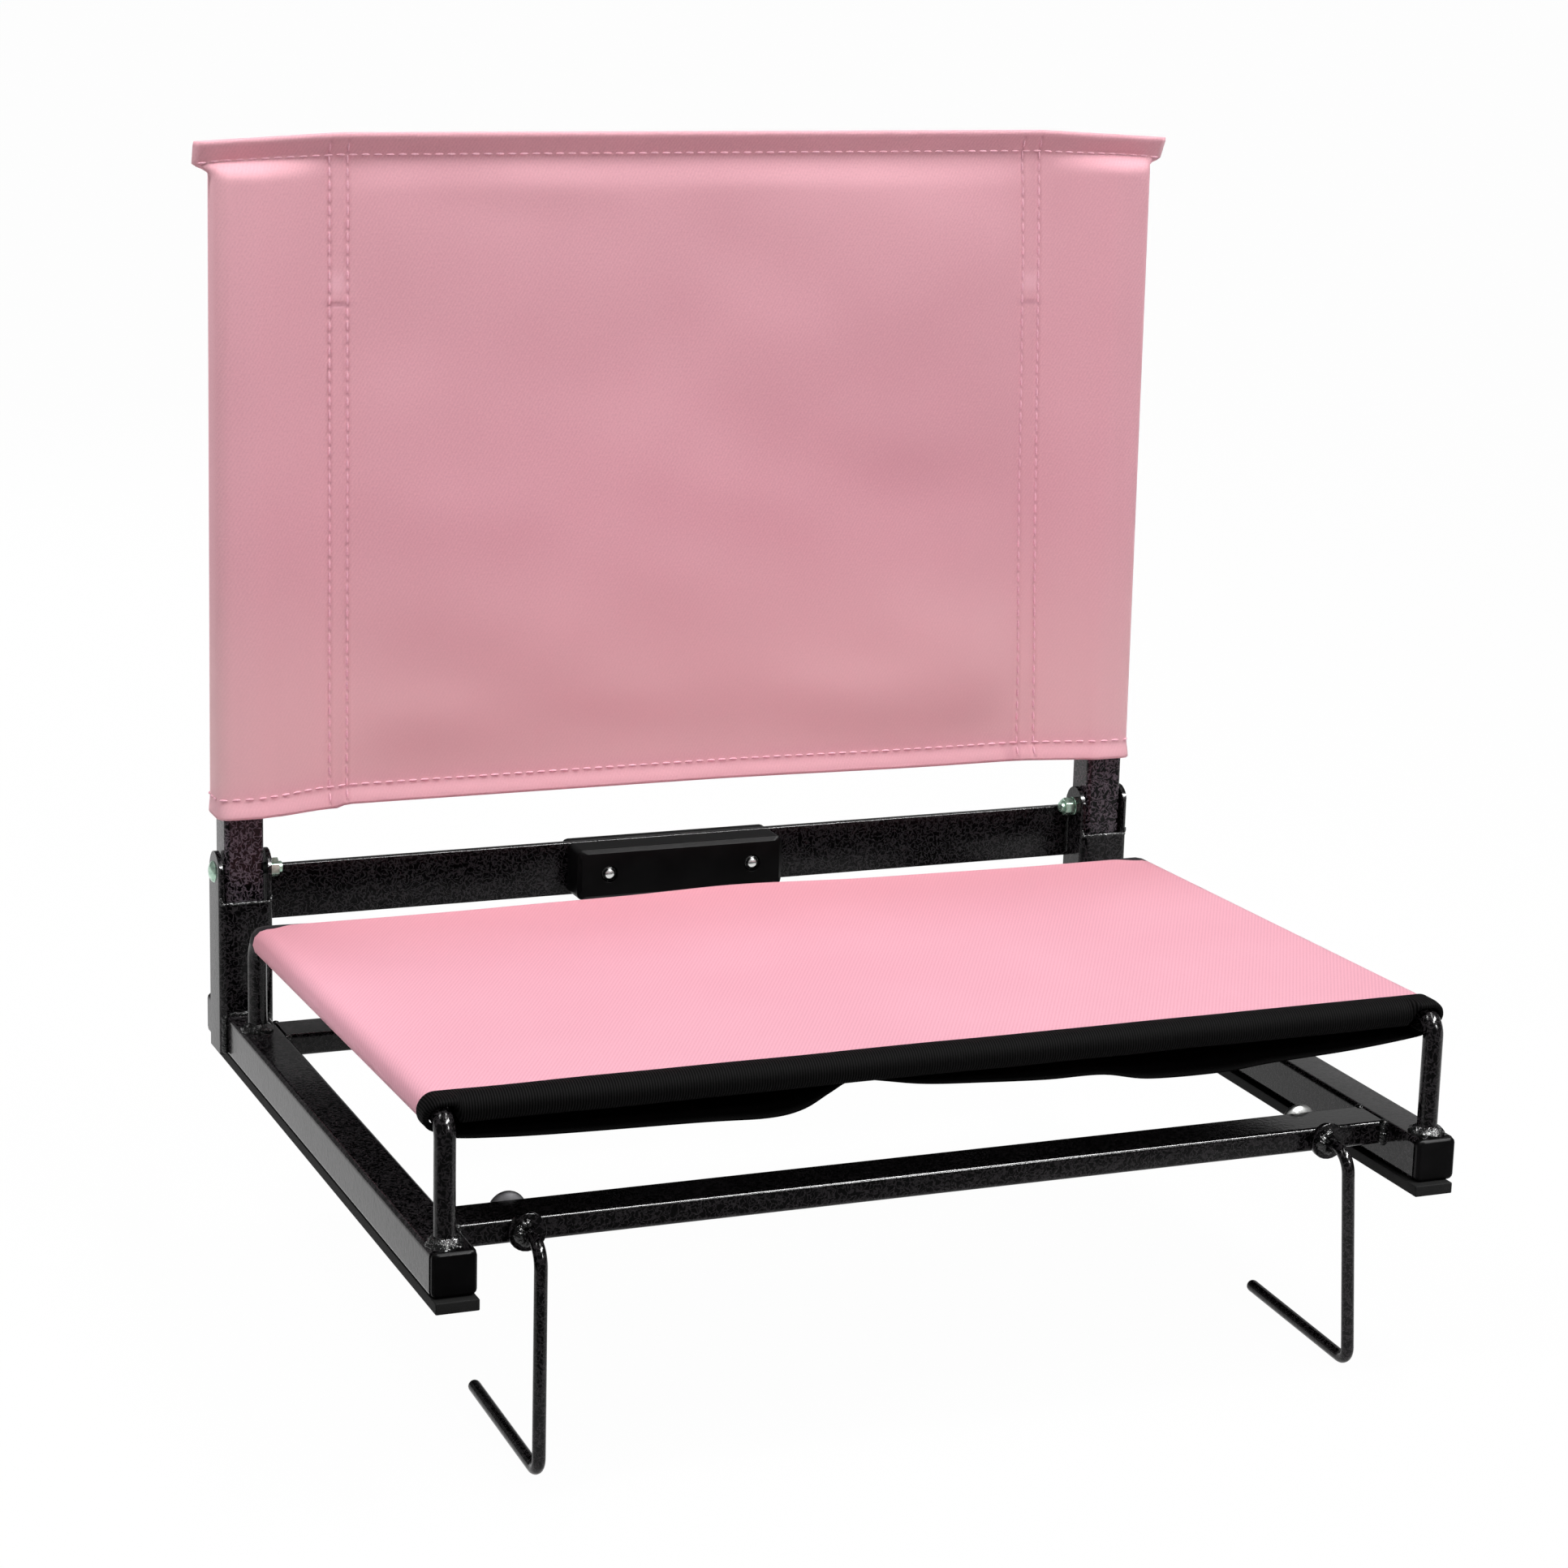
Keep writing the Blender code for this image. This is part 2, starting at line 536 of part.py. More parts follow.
# Black border over the front edge, turned down and holed for the rods
flange_low = SLEEVE_BORE + TOUCH_GAP
flange_high = flange_low + BINDING_THICKNESS
lip_rear = TOUCH_GAP + BINDING_THICKNESS
binding_outline = [(lip_rear, flange_low), (lip_rear, -BINDING_DROP), (TOUCH_GAP, -BINDING_DROP)]
binding_outline += arc((lip_rear, flange_low), BINDING_THICKNESS, 180, 90, 4)
binding_outline += [(BINDING_WIDTH, flange_high), (BINDING_WIDTH, flange_low)]
binding_end = RAIL_X + SLEEVE_BORE + SLING_THICKNESS
binding_mesh = prism("seat_binding", [binding_outline], -binding_end, binding_end, "X")
seat_binding = place("seat_binding", binding_mesh, black_cloth, seat_run)
for side, x in (("left", -RAIL_X), ("right", RAIL_X)):
    name = f"{side}_binding_hole"
    hole = drum(name, SLEEVE_BORE, -BINDING_WIDTH, BINDING_WIDTH / 2, "Y")
    cut(seat_binding, cutter(name, hole, seat_run, (x, 0, 0)))

# Black underside of the rod sleeves, slack between the rod and its seam under the seat
flap_start = RAIL_X - 2 * TOUCH_GAP
flap_end = RAIL_X - FLAP_WIDTH
flap_low = -SLEEVE_PATH
flap_high = SLEEVE_BORE - TOUCH_GAP - SLING_THICKNESS
flap_steps = 12
flap_chain = []
for step in range(flap_steps + 1):
    part = step / flap_steps
    x = flap_start + (flap_end - flap_start) * part
    z = flap_low + (flap_high - flap_low) * part - 4 * FLAP_SAG * part * (1 - part)
    flap_chain.append((x, z))
for side, out in (("left", -1), ("right", 1)):
    side_chain = [(out * x, z) for x, z in flap_chain]
    cloth_strip(f"{side}_seat_flap", side_chain, lip_rear + TOUCH_GAP, cloth_end, black_cloth)


# Back posts with a plug in each end, on the hinge axis
back_hinge = joint_empty("back_hinge", (0, PIVOT_Y, PIVOT_HEIGHT))
for side, x in (("left", -RAIL_X), ("right", RAIL_X)):
    name = f"{side}_back_post"
    post = place(name, square_tube(name, -POST_TAIL, POST_TOP, "Z"), powder_coat, back_hinge, (x, 0, 0))
    hole = drum(f"{name}_bore", PIVOT_BOLT / 2 + TOUCH_GAP, -TUBE, TUBE, "X")
    cut(post, cutter(f"{name}_bore", hole, back_hinge, (x, 0, 0)))
    tube_plug(f"{side}_post_cap", back_hinge, (x, 0, POST_TOP + TOUCH_GAP), (0, 0, 0))
    tube_plug(f"{side}_post_plug", back_hinge, (x, 0, -POST_TAIL - TOUCH_GAP), (math.pi, 0, 0))


# Back cover: two layers sewn together, open round the posts and flat in the top hem
def mirrored(half):
    return half + [(-x, y) for x, y in reversed(half) if x > 0]


def sleeve_ring(z):
    outer = RAIL_X + POST_CHAMBER + COVER_LAYER
    face = POST_CHAMBER + COVER_LAYER
    shoulder = RAIL_X - POST_CHAMBER
    half = [(0, -COVER_PANEL / 2), (COVER_SEAM, -COVER_PANEL / 2), (shoulder, -face)]
    half += arc((outer - COVER_CORNER, -face + COVER_CORNER), COVER_CORNER, -90, 0, 4)
    half += arc((outer - COVER_CORNER, face - COVER_CORNER), COVER_CORNER, 0, 90, 4)
    half += [(shoulder, face), (COVER_SEAM, COVER_PANEL / 2), (0, COVER_PANEL / 2)]
    return [(x, y, z) for x, y in mirrored(half)]


def hem_ring(z):
    edge = HEM_THICKNESS / 2
    outer = RAIL_X + POST_CHAMBER + COVER_LAYER + HEM_EAR
    shoulder = RAIL_X - POST_CHAMBER
    half = [(0, -edge), (COVER_SEAM, -edge), (shoulder, -edge)]
    half += arc((outer - edge, 0), edge, -90, -10, 4)
    half += arc((outer - edge, 0), edge, 10, 90, 4)
    half += [(shoulder, edge), (COVER_SEAM, edge), (0, edge)]
    reach = outer - COVER_SEAM
    return [(x, y, z - HEM_DROOP * max(0, (abs(x) - COVER_SEAM) / reach)) for x, y in mirrored(half)]


hem_low = COVER_TOP - HEM_HEIGHT
cover_rings = [
    sleeve_ring(COVER_BOTTOM),
    sleeve_ring(hem_low - HEM_SLOPE),
    hem_ring(hem_low),
    hem_ring(COVER_TOP),
]
back_cover = place("back_cover", loft("back_cover", cover_rings), pink_cloth, back_hinge)
for side, out in (("left", -1), ("right", 1)):
    name = f"{side}_post_chamber"
    wedge_tip = COVER_SEAM + 5 * COVER_LAYER
    near = RAIL_X - POST_CHAMBER
    far = RAIL_X + POST_CHAMBER
    chamber = [(wedge_tip, 0), (near, -POST_CHAMBER), (far, -POST_CHAMBER)]
    chamber += [(far, POST_CHAMBER), (near, POST_CHAMBER)]
    outline = [(out * x, y) for x, y in chamber]
    room = prism(name, [outline], COVER_BOTTOM - TUBE, CHAMBER_TOP, "Z")
    cut(back_cover, cutter(name, room, back_hinge))


# Hooks that swing in the front crossbar: bent rod, welded collar in front, pressed cap behind
for side, x in (("left", -HOOK_X), ("right", HOOK_X)):
    swing = joint_empty(f"{side}_hook_pivot", (x, FRONT_CROSSBAR_Y, CROSSBAR_Z))
    cap_seat = CROSSBAR_DEPTH + TOUCH_GAP
    cap_bore = HOOK_CAP_HEIGHT - HOOK_CAP_WALL
    corners = [
        (0, cap_seat + cap_bore - TOUCH_GAP, 0),
        (0, -HOOK_REACH, 0),
        (0, -HOOK_REACH, -HOOK_DROP),
        (0, HOOK_LEG - HOOK_REACH, HOOK_LEG_RISE - HOOK_DROP),
    ]
    bent_rod(f"{side}_hook_rod", HOOK_ROD, corners, [HOOK_TOP_BEND, HOOK_LOW_BEND], powder_coat, swing)
    bore = HOOK_ROD / 2 + TOUCH_GAP
    ring = [circle((0, 0), HOOK_COLLAR / 2), circle((0, 0), bore)]
    collar = prism(f"{side}_hook_collar", ring, -TOUCH_GAP - HOOK_COLLAR_THICKNESS, -TOUCH_GAP, "Y")
    place(f"{side}_hook_collar", collar, powder_coat, swing)
    cap = half_round(HOOK_CAP / 2, HOOK_CAP_HEIGHT)
    cap += [(bore, 0), (bore, cap_bore), (0, cap_bore)]
    turned(f"{side}_hook_cap", cap, zinc, swing, (0, cap_seat, 0), (-math.pi / 2, 0, 0))
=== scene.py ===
import math

import bmesh
import bpy
from mathutils import Matrix, Vector, noise


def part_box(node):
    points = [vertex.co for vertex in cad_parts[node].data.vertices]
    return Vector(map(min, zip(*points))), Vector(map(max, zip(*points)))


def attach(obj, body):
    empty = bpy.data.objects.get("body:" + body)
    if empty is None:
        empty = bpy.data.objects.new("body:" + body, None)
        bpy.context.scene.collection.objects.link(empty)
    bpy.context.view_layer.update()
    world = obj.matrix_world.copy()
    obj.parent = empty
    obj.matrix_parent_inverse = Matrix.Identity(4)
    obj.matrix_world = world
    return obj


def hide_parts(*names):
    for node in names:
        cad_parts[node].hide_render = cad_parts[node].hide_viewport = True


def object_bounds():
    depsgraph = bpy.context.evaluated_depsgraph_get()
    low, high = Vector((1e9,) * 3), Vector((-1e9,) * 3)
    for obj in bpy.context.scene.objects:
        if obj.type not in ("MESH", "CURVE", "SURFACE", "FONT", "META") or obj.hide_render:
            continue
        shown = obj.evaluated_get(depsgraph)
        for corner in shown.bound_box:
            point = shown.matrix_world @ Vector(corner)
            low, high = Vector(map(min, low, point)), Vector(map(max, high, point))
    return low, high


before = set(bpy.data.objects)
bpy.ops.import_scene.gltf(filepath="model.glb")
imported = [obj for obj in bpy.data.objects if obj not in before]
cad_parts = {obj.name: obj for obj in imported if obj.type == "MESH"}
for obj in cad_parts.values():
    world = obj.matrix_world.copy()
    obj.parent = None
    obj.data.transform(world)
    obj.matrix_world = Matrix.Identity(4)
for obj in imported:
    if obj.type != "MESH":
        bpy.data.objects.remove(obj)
cad_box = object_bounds()


# Rails: two lengths of 20 mm square steel tube that lie along the bench, one under each side.
# The tube is rolled with round corners, cut square, and powder coated in a black hammered finish
# together with everything that is welded to it.
class Wire:
    """A shader socket that takes part in plain Python sums."""

    def __init__(self, tree, socket):
        self.tree = tree
        self.socket = socket

    def node(self, kind, settings, sockets, output=0):
        made = self.tree.nodes.new(kind)
        for setting, value in settings.items():
            setattr(made, setting, value)
        for name, value in sockets.items():
            if isinstance(value, Wire):
                self.tree.links.new(value.socket, made.inputs[name])
            else:
                made.inputs[name].default_value = value
        return Wire(self.tree, made.outputs[output])

    def math(self, operation, *values):
        return self.node("ShaderNodeMath", {"operation": operation}, dict(enumerate(values)))

    def __add__(self, other):
        return self.math("ADD", self, other)

    def __radd__(self, other):
        return self.math("ADD", other, self)

    def __sub__(self, other):
        return self.math("SUBTRACT", self, other)

    def __rsub__(self, other):
        return self.math("SUBTRACT", other, self)

    def __mul__(self, other):
        return self.math("MULTIPLY", self, other)

    def __rmul__(self, other):
        return self.math("MULTIPLY", other, self)

    def __truediv__(self, other):
        return self.math("DIVIDE", self, other)

    def __rtruediv__(self, other):
        return self.math("DIVIDE", other, self)

    def __abs__(self):
        return self.math("ABSOLUTE", self)

    def power(self, exponent):
        return self.math("POWER", abs(self), exponent)

    def axis(self, number):
        """One of the three numbers of a place."""
        return self.node("ShaderNodeSeparateXYZ", {}, {0: self}, number)

    def wave(self, pitch):
        """Even swell between 0 and 1 that comes back every pitch."""
        turns = self * (math.tau / pitch)
        return turns.math("COSINE", turns) * 0.5 + 0.5

    def between(self, low, high):
        """0 at low, 1 at high, eased in between."""
        return self.node(
            "ShaderNodeMapRange",
            {"interpolation_type": "SMOOTHSTEP"},
            {"Value": self, "From Min": low, "From Max": high},
        )

    def mix(self, dark, light):
        """A colour that goes from dark to light as this value goes from 0 to 1."""
        return self.node("ShaderNodeMix", {"data_type": "RGBA"}, {0: self, 6: dark, 7: light}, 2)

    def speckle(self, scale, detail=2.0, distortion=0.0):
        """Even noise on these coordinates, scale grains to the metre."""
        return self.node(
            "ShaderNodeTexNoise",
            {},
            {"Vector": self, "Scale": scale, "Detail": detail, "Distortion": distortion},
        )

    def raised(self, depth, strength=1.0):
        """A surface normal for this height, depth metres from its lowest to its highest."""
        return self.node(
            "ShaderNodeBump", {}, {"Height": self, "Distance": depth, "Strength": strength}
        )

    def feed(self, socket):
        self.tree.links.new(self.socket, socket)


def new_finish(name, **constants):
    made = bpy.data.materials.new(name)
    made.use_nodes = True
    tree = made.node_tree
    shader = tree.nodes["Principled BSDF"]
    for socket, value in constants.items():
        shader.inputs[socket.replace("_", " ")].default_value = value
    coordinates = tree.nodes.new("ShaderNodeTexCoord")
    return made, shader.inputs, Wire(tree, coordinates.outputs["Object"])


def hammered(name, fleck):
    """Black hammered coat: a wormy peel, with flecks of the colour given on its ridges."""
    made, coat, spot = new_finish(name, Specular_IOR_Level=0.18)
    peel = spot.speckle(430.0, detail=1.0, distortion=0.6)
    worms = (1.0 - abs(peel * 2.0 - 1.0)).between(0.80, 1.0)
    patches = spot.speckle(38.0, detail=3.0)
    worms.mix((0.0008, 0.0007, 0.0009, 1.0), fleck).feed(coat["Base Color"])
    (0.10 + 0.12 * patches).feed(coat["Roughness"])
    peel.raised(depth=0.00014, strength=0.5).feed(coat["Normal"])
    return made


def as_mesh(name, bm):
    mesh = bpy.data.meshes.new(name)
    bm.to_mesh(mesh)
    bm.free()
    return mesh


def put_in_scene(name, data):
    made = bpy.data.objects.new(name, data)
    bpy.context.scene.collection.objects.link(made)
    return made


def declare(piece, body, nodes):
    """What the piece moves with, and which CAD solids it stands for."""
    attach(piece, body)
    if nodes:
        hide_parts(*nodes)


def fit(name, bm, finish, slot, body, *nodes):
    """A hard piece, ready to show: flat faces stay flat and rounded edges shade smoothly."""
    crease = math.radians(42)
    bmesh.ops.recalc_face_normals(bm, faces=bm.faces)
    mesh = as_mesh(name, bm)
    mesh.materials.append(finish)
    mesh.shade_smooth()
    mesh.set_sharp_from_angle(angle=crease)
    piece = put_in_scene(name, mesh)
    shading = piece.modifiers.new("Flat faces stay flat", "WEIGHTED_NORMAL")
    shading.keep_sharp = True
    declare(piece, body, nodes)
    return piece


def round_edges(bm, edges, corner, steps):
    bmesh.ops.bevel(
        bm, geom=edges, offset=corner, offset_type="OFFSET", segments=steps,
        profile=0.5, affect="EDGES", clamp_overlap=True, material=-1,
    )


def rounded_bar(low, high, corner, along="XYZ", steps=4):
    """A bar between two corners, with the edges that run along the axes named worked round."""
    bm = bmesh.new()
    bmesh.ops.create_cube(bm, size=1.0)
    bmesh.ops.scale(bm, vec=high - low, verts=bm.verts)
    bmesh.ops.translate(bm, vec=(low + high) / 2, verts=bm.verts)
    edges = []
    for edge in bm.edges:
        run = edge.verts[1].co - edge.verts[0].co
        longest = max(range(3), key=lambda axis: abs(run[axis]))
        if "XYZ"[longest] in along:
            edges.append(edge)
    round_edges(bm, edges, corner, steps)
    return bm


sides = ("left", "right")
powder_coat = hammered("powder_coat", (0.0300, 0.0265, 0.0290, 1.0))
tube_corner = 0.0026
coat_build = Vector((0.0004, 0, 0.0003))
rear_reach = Vector((0, 0.009, 0))
for side in sides:
    low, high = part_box(f"{side}_rail")
    rail = rounded_bar(low - coat_build, high + coat_build + rear_reach, tube_corner, "Y")
    fit(f"{side}_rail_tube", rail, powder_coat, "powder_coat", "base", f"{side}_rail")


# End plugs: square inserts pressed into the open ends of the rails.
# Moulded in black plastic with a fine satin grain, with eased edges round the head.
black_plastic, plastic, spot = new_finish("black_plastic", Specular_IOR_Level=0.05)
bloom = spot.speckle(60.0, detail=3.0)
grain = spot.speckle(2600.0, detail=1.0)
tint = bloom.between(0.3, 0.8)
tint.mix((0.0018, 0.0016, 0.0018, 1.0), (0.0042, 0.0038, 0.0042, 1.0)).feed(plastic["Base Color"])
(0.30 + 0.14 * bloom).feed(plastic["Roughness"])
grain.raised(depth=0.00004, strength=0.5).feed(plastic["Normal"])


def eased(node, corner, steps=2):
    """A copy of a CAD solid with its sharp edges worked round."""
    same_point = 0.00001
    flat_turn = math.radians(1)
    sharp_turn = math.radians(40)
    bm = bmesh.new()
    bm.from_mesh(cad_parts[node].data)
    bmesh.ops.remove_doubles(bm, verts=bm.verts, dist=same_point)
    bmesh.ops.dissolve_limit(bm, angle_limit=flat_turn, verts=bm.verts, edges=bm.edges)
    sharp = [edge for edge in bm.edges if edge.is_manifold and edge.calc_face_angle() > sharp_turn]
    round_edges(bm, sharp, corner, steps)
    return bm


def move(bm, way):
    bmesh.ops.translate(bm, vec=way, verts=bm.verts)


def grow(bm, middle, factors):
    """Stretch a shape about a point."""
    bmesh.ops.scale(bm, vec=factors, space=Matrix.Translation(-middle), verts=bm.verts)


plug_ease = 0.0005
right_plug_stretch = 1.02
for side in sides:
    for end in ("front", "rear"):
        plug = f"{side}_{end}_plug"
        insert = eased(plug, plug_ease)
        if end == "rear":
            move(insert, rear_reach)
        if plug == "right_front_plug":
            top = Vector((0, 0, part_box(plug)[1].z))
            grow(insert, top, (1, 1, right_plug_stretch))
        fit(f"{plug}_moulding", insert, black_plastic, "black_plastic", "base", plug)


# Bench strips: soft black rubber glued under the rails so that they don't mark the bench.
# Extruded flat strip, cut to length, dull and slightly dusty.
rubber, strip_skin, spot = new_finish("rubber", Specular_IOR_Level=0.12)
dust = spot.speckle(90.0, detail=4.0)
pores = spot.speckle(1500.0)
dusty = dust.between(0.35, 0.75)
dusty.mix((0.0030, 0.0030, 0.0030, 1.0), (0.0080, 0.0079, 0.0078, 1.0)).feed(strip_skin["Base Color"])
(0.58 + 0.2 * pores).feed(strip_skin["Roughness"])
pores.raised(depth=0.00008, strength=0.5).feed(strip_skin["Normal"])
strip_corner = 0.0006
strip_shift = {"left": 0.0, "right": -0.0028}
for side in sides:
    strip = rounded_bar(*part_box(f"{side}_bench_strip"), strip_corner, steps=2)
    move(strip, (strip_shift[side], 0, 0))
    fit(f"{side}_bench_strip_rubber", strip, rubber, "rubber", "base", f"{side}_bench_strip")


# Crossbars: two flat oval-cornered steel tubes that hold the rails apart.
# Cut square, set just under the rails' top faces and welded at both ends.
bar_corner = 0.0020
bar_below = Vector((0, 0, 0.0005))
bar_above = Vector((0, 0.0014, 0.0008))
for end in ("front", "rear"):
    low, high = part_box(f"{end}_crossbar")
    bar = rounded_bar(low - bar_below, high + bar_above, bar_corner, "X")
    fit(f"{end}_crossbar_tube", bar, powder_coat, "powder_coat", "base", f"{end}_crossbar")


# Hinge brackets: steel plate bent to a U that sits astride the rail and holds the back post.
# Cut with round ears and an open mouth, edges dulled, welded to the rail.
bracket_ease = 0.0009
bracket_width = 0.0274
bracket_depth = 0.0210
bracket_rise = {"left": 0.976, "right": 0.984}
for side in sides:
    bracket = f"{side}_hinge_bracket"
    low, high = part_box(bracket)
    plate_bend = eased(bracket, bracket_ease, steps=3)
    foot = Vector(((low.x + high.x) / 2, low.y, low.z))
    trim = (bracket_width / (high.x - low.x), bracket_depth / (high.y - low.y), bracket_rise[side])
    grow(plate_bend, foot, trim)
    fit(f"{bracket}_plate", plate_bend, powder_coat, "powder_coat", "base", bracket)


# Pivot bolts, washers and nuts: plated steel fixings that the back turns on.
# Round-headed bolt from outside, washer and nut against the inner ear, zinc with a faint green cast.
zinc, plate, spot = new_finish("zinc", Metallic=0.70)
smear = spot.speckle(420.0, detail=3.0)
plating = smear.between(0.3, 0.75)
plating.mix((0.30, 0.45, 0.36, 1.0), (0.64, 0.88, 0.72, 1.0)).feed(plate["Base Color"])
(0.12 + 0.20 * smear).feed(plate["Roughness"])
smear.raised(depth=0.00005, strength=0.4).feed(plate["Normal"])
fixing_ease = 0.0003
fixing_drop = {"left": 0.0027, "right": 0.0021}
fixing_growth = {"pivot_bolt": 1.15, "pivot_washer": 1.0, "pivot_nut": 1.08}
for side in sides:
    for fixing, growth in fixing_growth.items():
        node = f"{side}_{fixing}"
        low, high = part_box(node)
        turned = eased(node, fixing_ease)
        grow(turned, (low + high) / 2, (1, growth, growth))
        move(turned, (0, 0, -fixing_drop[side]))
        fit(f"{node}_plated", turned, zinc, "zinc", "base", node)


# Carry bar: flat steel bar across the back of the base, between the inner ears of the brackets.
# Sheared from strip, edges eased, welded at both ends.
carry_corner = 0.0008
carry_below = Vector((0, 0, 0.0011))
carry_low, carry_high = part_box("carry_bar")
carry_bar = rounded_bar(carry_low - carry_below, carry_high, carry_corner, steps=3)
fit("carry_bar_strip", carry_bar, powder_coat, "powder_coat", "base", "carry_bar")


# Hand grip: two plastic halves clamped round the carry bar by two screws in wells.
# Moulded with broad chamfers; the screw heads are bright plated, with a dark ring painted inside the rim
# as the shade of the well round them.
grip_ease = 0.0004
for half in ("grip_front", "grip_rear"):
    fit(f"{half}_moulding", eased(half, grip_ease), black_plastic, "black_plastic", "base", half)

screw_middle = {side: sum(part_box(f"{side}_grip_screw"), Vector()) / 2 for side in sides}
screws_middle = (screw_middle["left"] + screw_middle["right"]) / 2
screws_apart = (screw_middle["right"].x - screw_middle["left"].x) / 2
screw_zinc, head_skin, spot = new_finish("screw_zinc", Metallic=0.85, Roughness=0.22)
off_x = abs(spot.axis(0) - screws_middle.x) - screws_apart
off_z = spot.axis(2) - screws_middle.z
from_axis = (off_x.power(2.0) + off_z.power(2.0)).power(0.5)
# Painted shade: a dark ring on each head stands for the shaded well round it.
painted_well_shadow_ring = from_axis.between(0.0021, 0.0025) * from_axis.between(0.0036, 0.0033)
painted_well_shadow_ring.mix((0.80, 0.80, 0.79, 1.0), (0.012, 0.012, 0.012, 1.0)).feed(head_skin["Base Color"])
screw_ease = 0.0002
screw_growth = 1.30
screw_forward = -0.0018
for side in sides:
    screw = f"{side}_grip_screw"
    turned_screw = eased(screw, screw_ease)
    grow(turned_screw, screw_middle[side], (screw_growth, 1, screw_growth))
    move(turned_screw, (0, screw_forward, 0))
    fit(f"{screw}_plated", turned_screw, screw_zinc, "zinc", "base", screw)


# Seat rods: round steel rod bent to an upside-down U on each rail, carrying the edges of the seat.
# Cold bent over a small former, so the straight runs meet round bends, then welded upright on the rail.
seat_rod_size = 0.0095
seat_front = Vector((0, -0.1835, 0.0810))
seat_rear = Vector((0, 0.1315, 0.0752))
seat_rear_sag = {"left": 0.0, "right": 0.0010}
seat_rod_x = {"left": -0.2394, "right": 0.2378}
seat_front_bend = 0.008
seat_rear_bend = 0.013


def bent_rod(diameter, corners, bends, rounded_tip=False):
    """A rod drawn from corner to corner, with a round bend of the radius given at each."""
    round_steps = 24
    bend_steps = 10
    bm = bmesh.new()
    here = Vector(corners[0])
    aim = (Vector(corners[1]) - here).normalized()
    stand = Matrix.Translation(here) @ aim.to_track_quat("Z", "Y").to_matrix().to_4x4()
    bmesh.ops.create_circle(bm, cap_ends=False, segments=round_steps, radius=diameter / 2, matrix=stand)
    ring = bm.edges[:]
    first_ring = ring

    def draw_out(distance, waist=1.0):
        pushed = bmesh.ops.extrude_edge_only(bm, edges=ring)["geom"]
        points = [item for item in pushed if isinstance(item, bmesh.types.BMVert)]
        edges = [item for item in pushed if isinstance(item, bmesh.types.BMEdge)]
        bmesh.ops.translate(bm, vec=aim * distance, verts=points)
        if waist != 1.0:
            middle = sum((point.co for point in points), Vector()) / len(points)
            about = Matrix.Translation(-middle)
            bmesh.ops.scale(bm, vec=(waist, waist, waist), space=about, verts=points)
        return [edge for edge in edges if all(end in points for end in edge.verts)]

    for corner, after, radius in zip(corners[1:], corners[2:], bends):
        corner = Vector(corner)
        onward = (Vector(after) - corner).normalized()
        turn = aim.angle(onward)
        reach = radius * math.tan(turn / 2)
        ring = draw_out((corner - here).length - reach)
        centre = corner + (onward - aim).normalized() * radius / math.cos(turn / 2)
        bend = bmesh.ops.spin(
            bm, geom=ring, cent=centre, axis=aim.cross(onward).normalized(),
            angle=turn, steps=bend_steps, use_merge=False, use_duplicate=False,
        )
        ring = [item for item in bend["geom_last"] if isinstance(item, bmesh.types.BMEdge)]
        here = corner + onward * reach
        aim = onward
    ring = draw_out((Vector(corners[-1]) - here).length)
    if rounded_tip:
        for share, waist in ((0.40, 0.92), (0.30, 0.78), (0.14, 0.55)):
            ring = draw_out(diameter / 2 * share, waist)
    bmesh.ops.contextual_create(bm, geom=ring)
    bmesh.ops.contextual_create(bm, geom=first_ring)
    return bm


for side in sides:
    x = seat_rod_x[side]
    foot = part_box(f"{side}_seat_rod")[0].z
    corners = [
        (x, seat_front.y, foot),
        (x, seat_front.y, seat_front.z),
        (x, seat_rear.y, seat_rear.z - seat_rear_sag[side]),
        (x, seat_rear.y, foot),
    ]
    rod = bent_rod(seat_rod_size, corners, [seat_front_bend, seat_rear_bend])
    fit(f"{side}_seat_rod_bent", rod, powder_coat, "powder_coat", "base", f"{side}_seat_rod")


# Welds of the base: lumpy beads that join rods, crossbars, brackets and carry bar.
# Laid puddle over puddle by hand and powder coated with the rest, so they shine on their humps, where the
# crests also carry a painted highlight.
weld_coat, bead_skin, spot = new_finish("weld_coat", Specular_IOR_Level=0.40)
ripple = spot.speckle(700.0, detail=2.5, distortion=0.8)
# Painted highlight: the crests of the ripple are painted lighter.
painted_crest_highlight = ripple.between(0.35, 0.8)
painted_crest_highlight.mix((0.0030, 0.0030, 0.0032, 1.0), (0.0160, 0.0165, 0.0160, 1.0)).feed(bead_skin["Base Color"])
(0.10 + 0.16 * ripple).feed(bead_skin["Roughness"])
ripple.raised(depth=0.0008, strength=0.9).feed(bead_skin["Normal"])


def small_shape(name, maker, **sizes):
    """A little mesh that is made once and set down many times."""
    bm = bmesh.new()
    maker(bm, **sizes)
    return as_mesh(name, bm)


def set_down(bm, shape, place):
    """Add one placed copy of a small shape."""
    copy = shape.copy()
    copy.transform(place)
    bm.from_mesh(copy)
    bpy.data.meshes.remove(copy)


drop = small_shape("weld_drop", bmesh.ops.create_icosphere, subdivisions=2, radius=1.0)


def puddle(bm, middle, size, step):
    """One drop of weld, a little larger or smaller than its neighbour."""
    swell = size * (0.86 + 0.28 * abs(math.sin(2.4 * step + 40.0 * middle[0])))
    set_down(bm, drop, Matrix.Translation(middle) @ Matrix.Diagonal((swell, swell, swell, 1.0)))


def bead(bm, start, end, size):
    """A row of puddles that run into each other."""
    start = Vector(start)
    end = Vector(end)
    count = max(3, round((end - start).length / (size * 0.75)))
    for step in range(count + 1):
        puddle(bm, start.lerp(end, step / count), size, step)


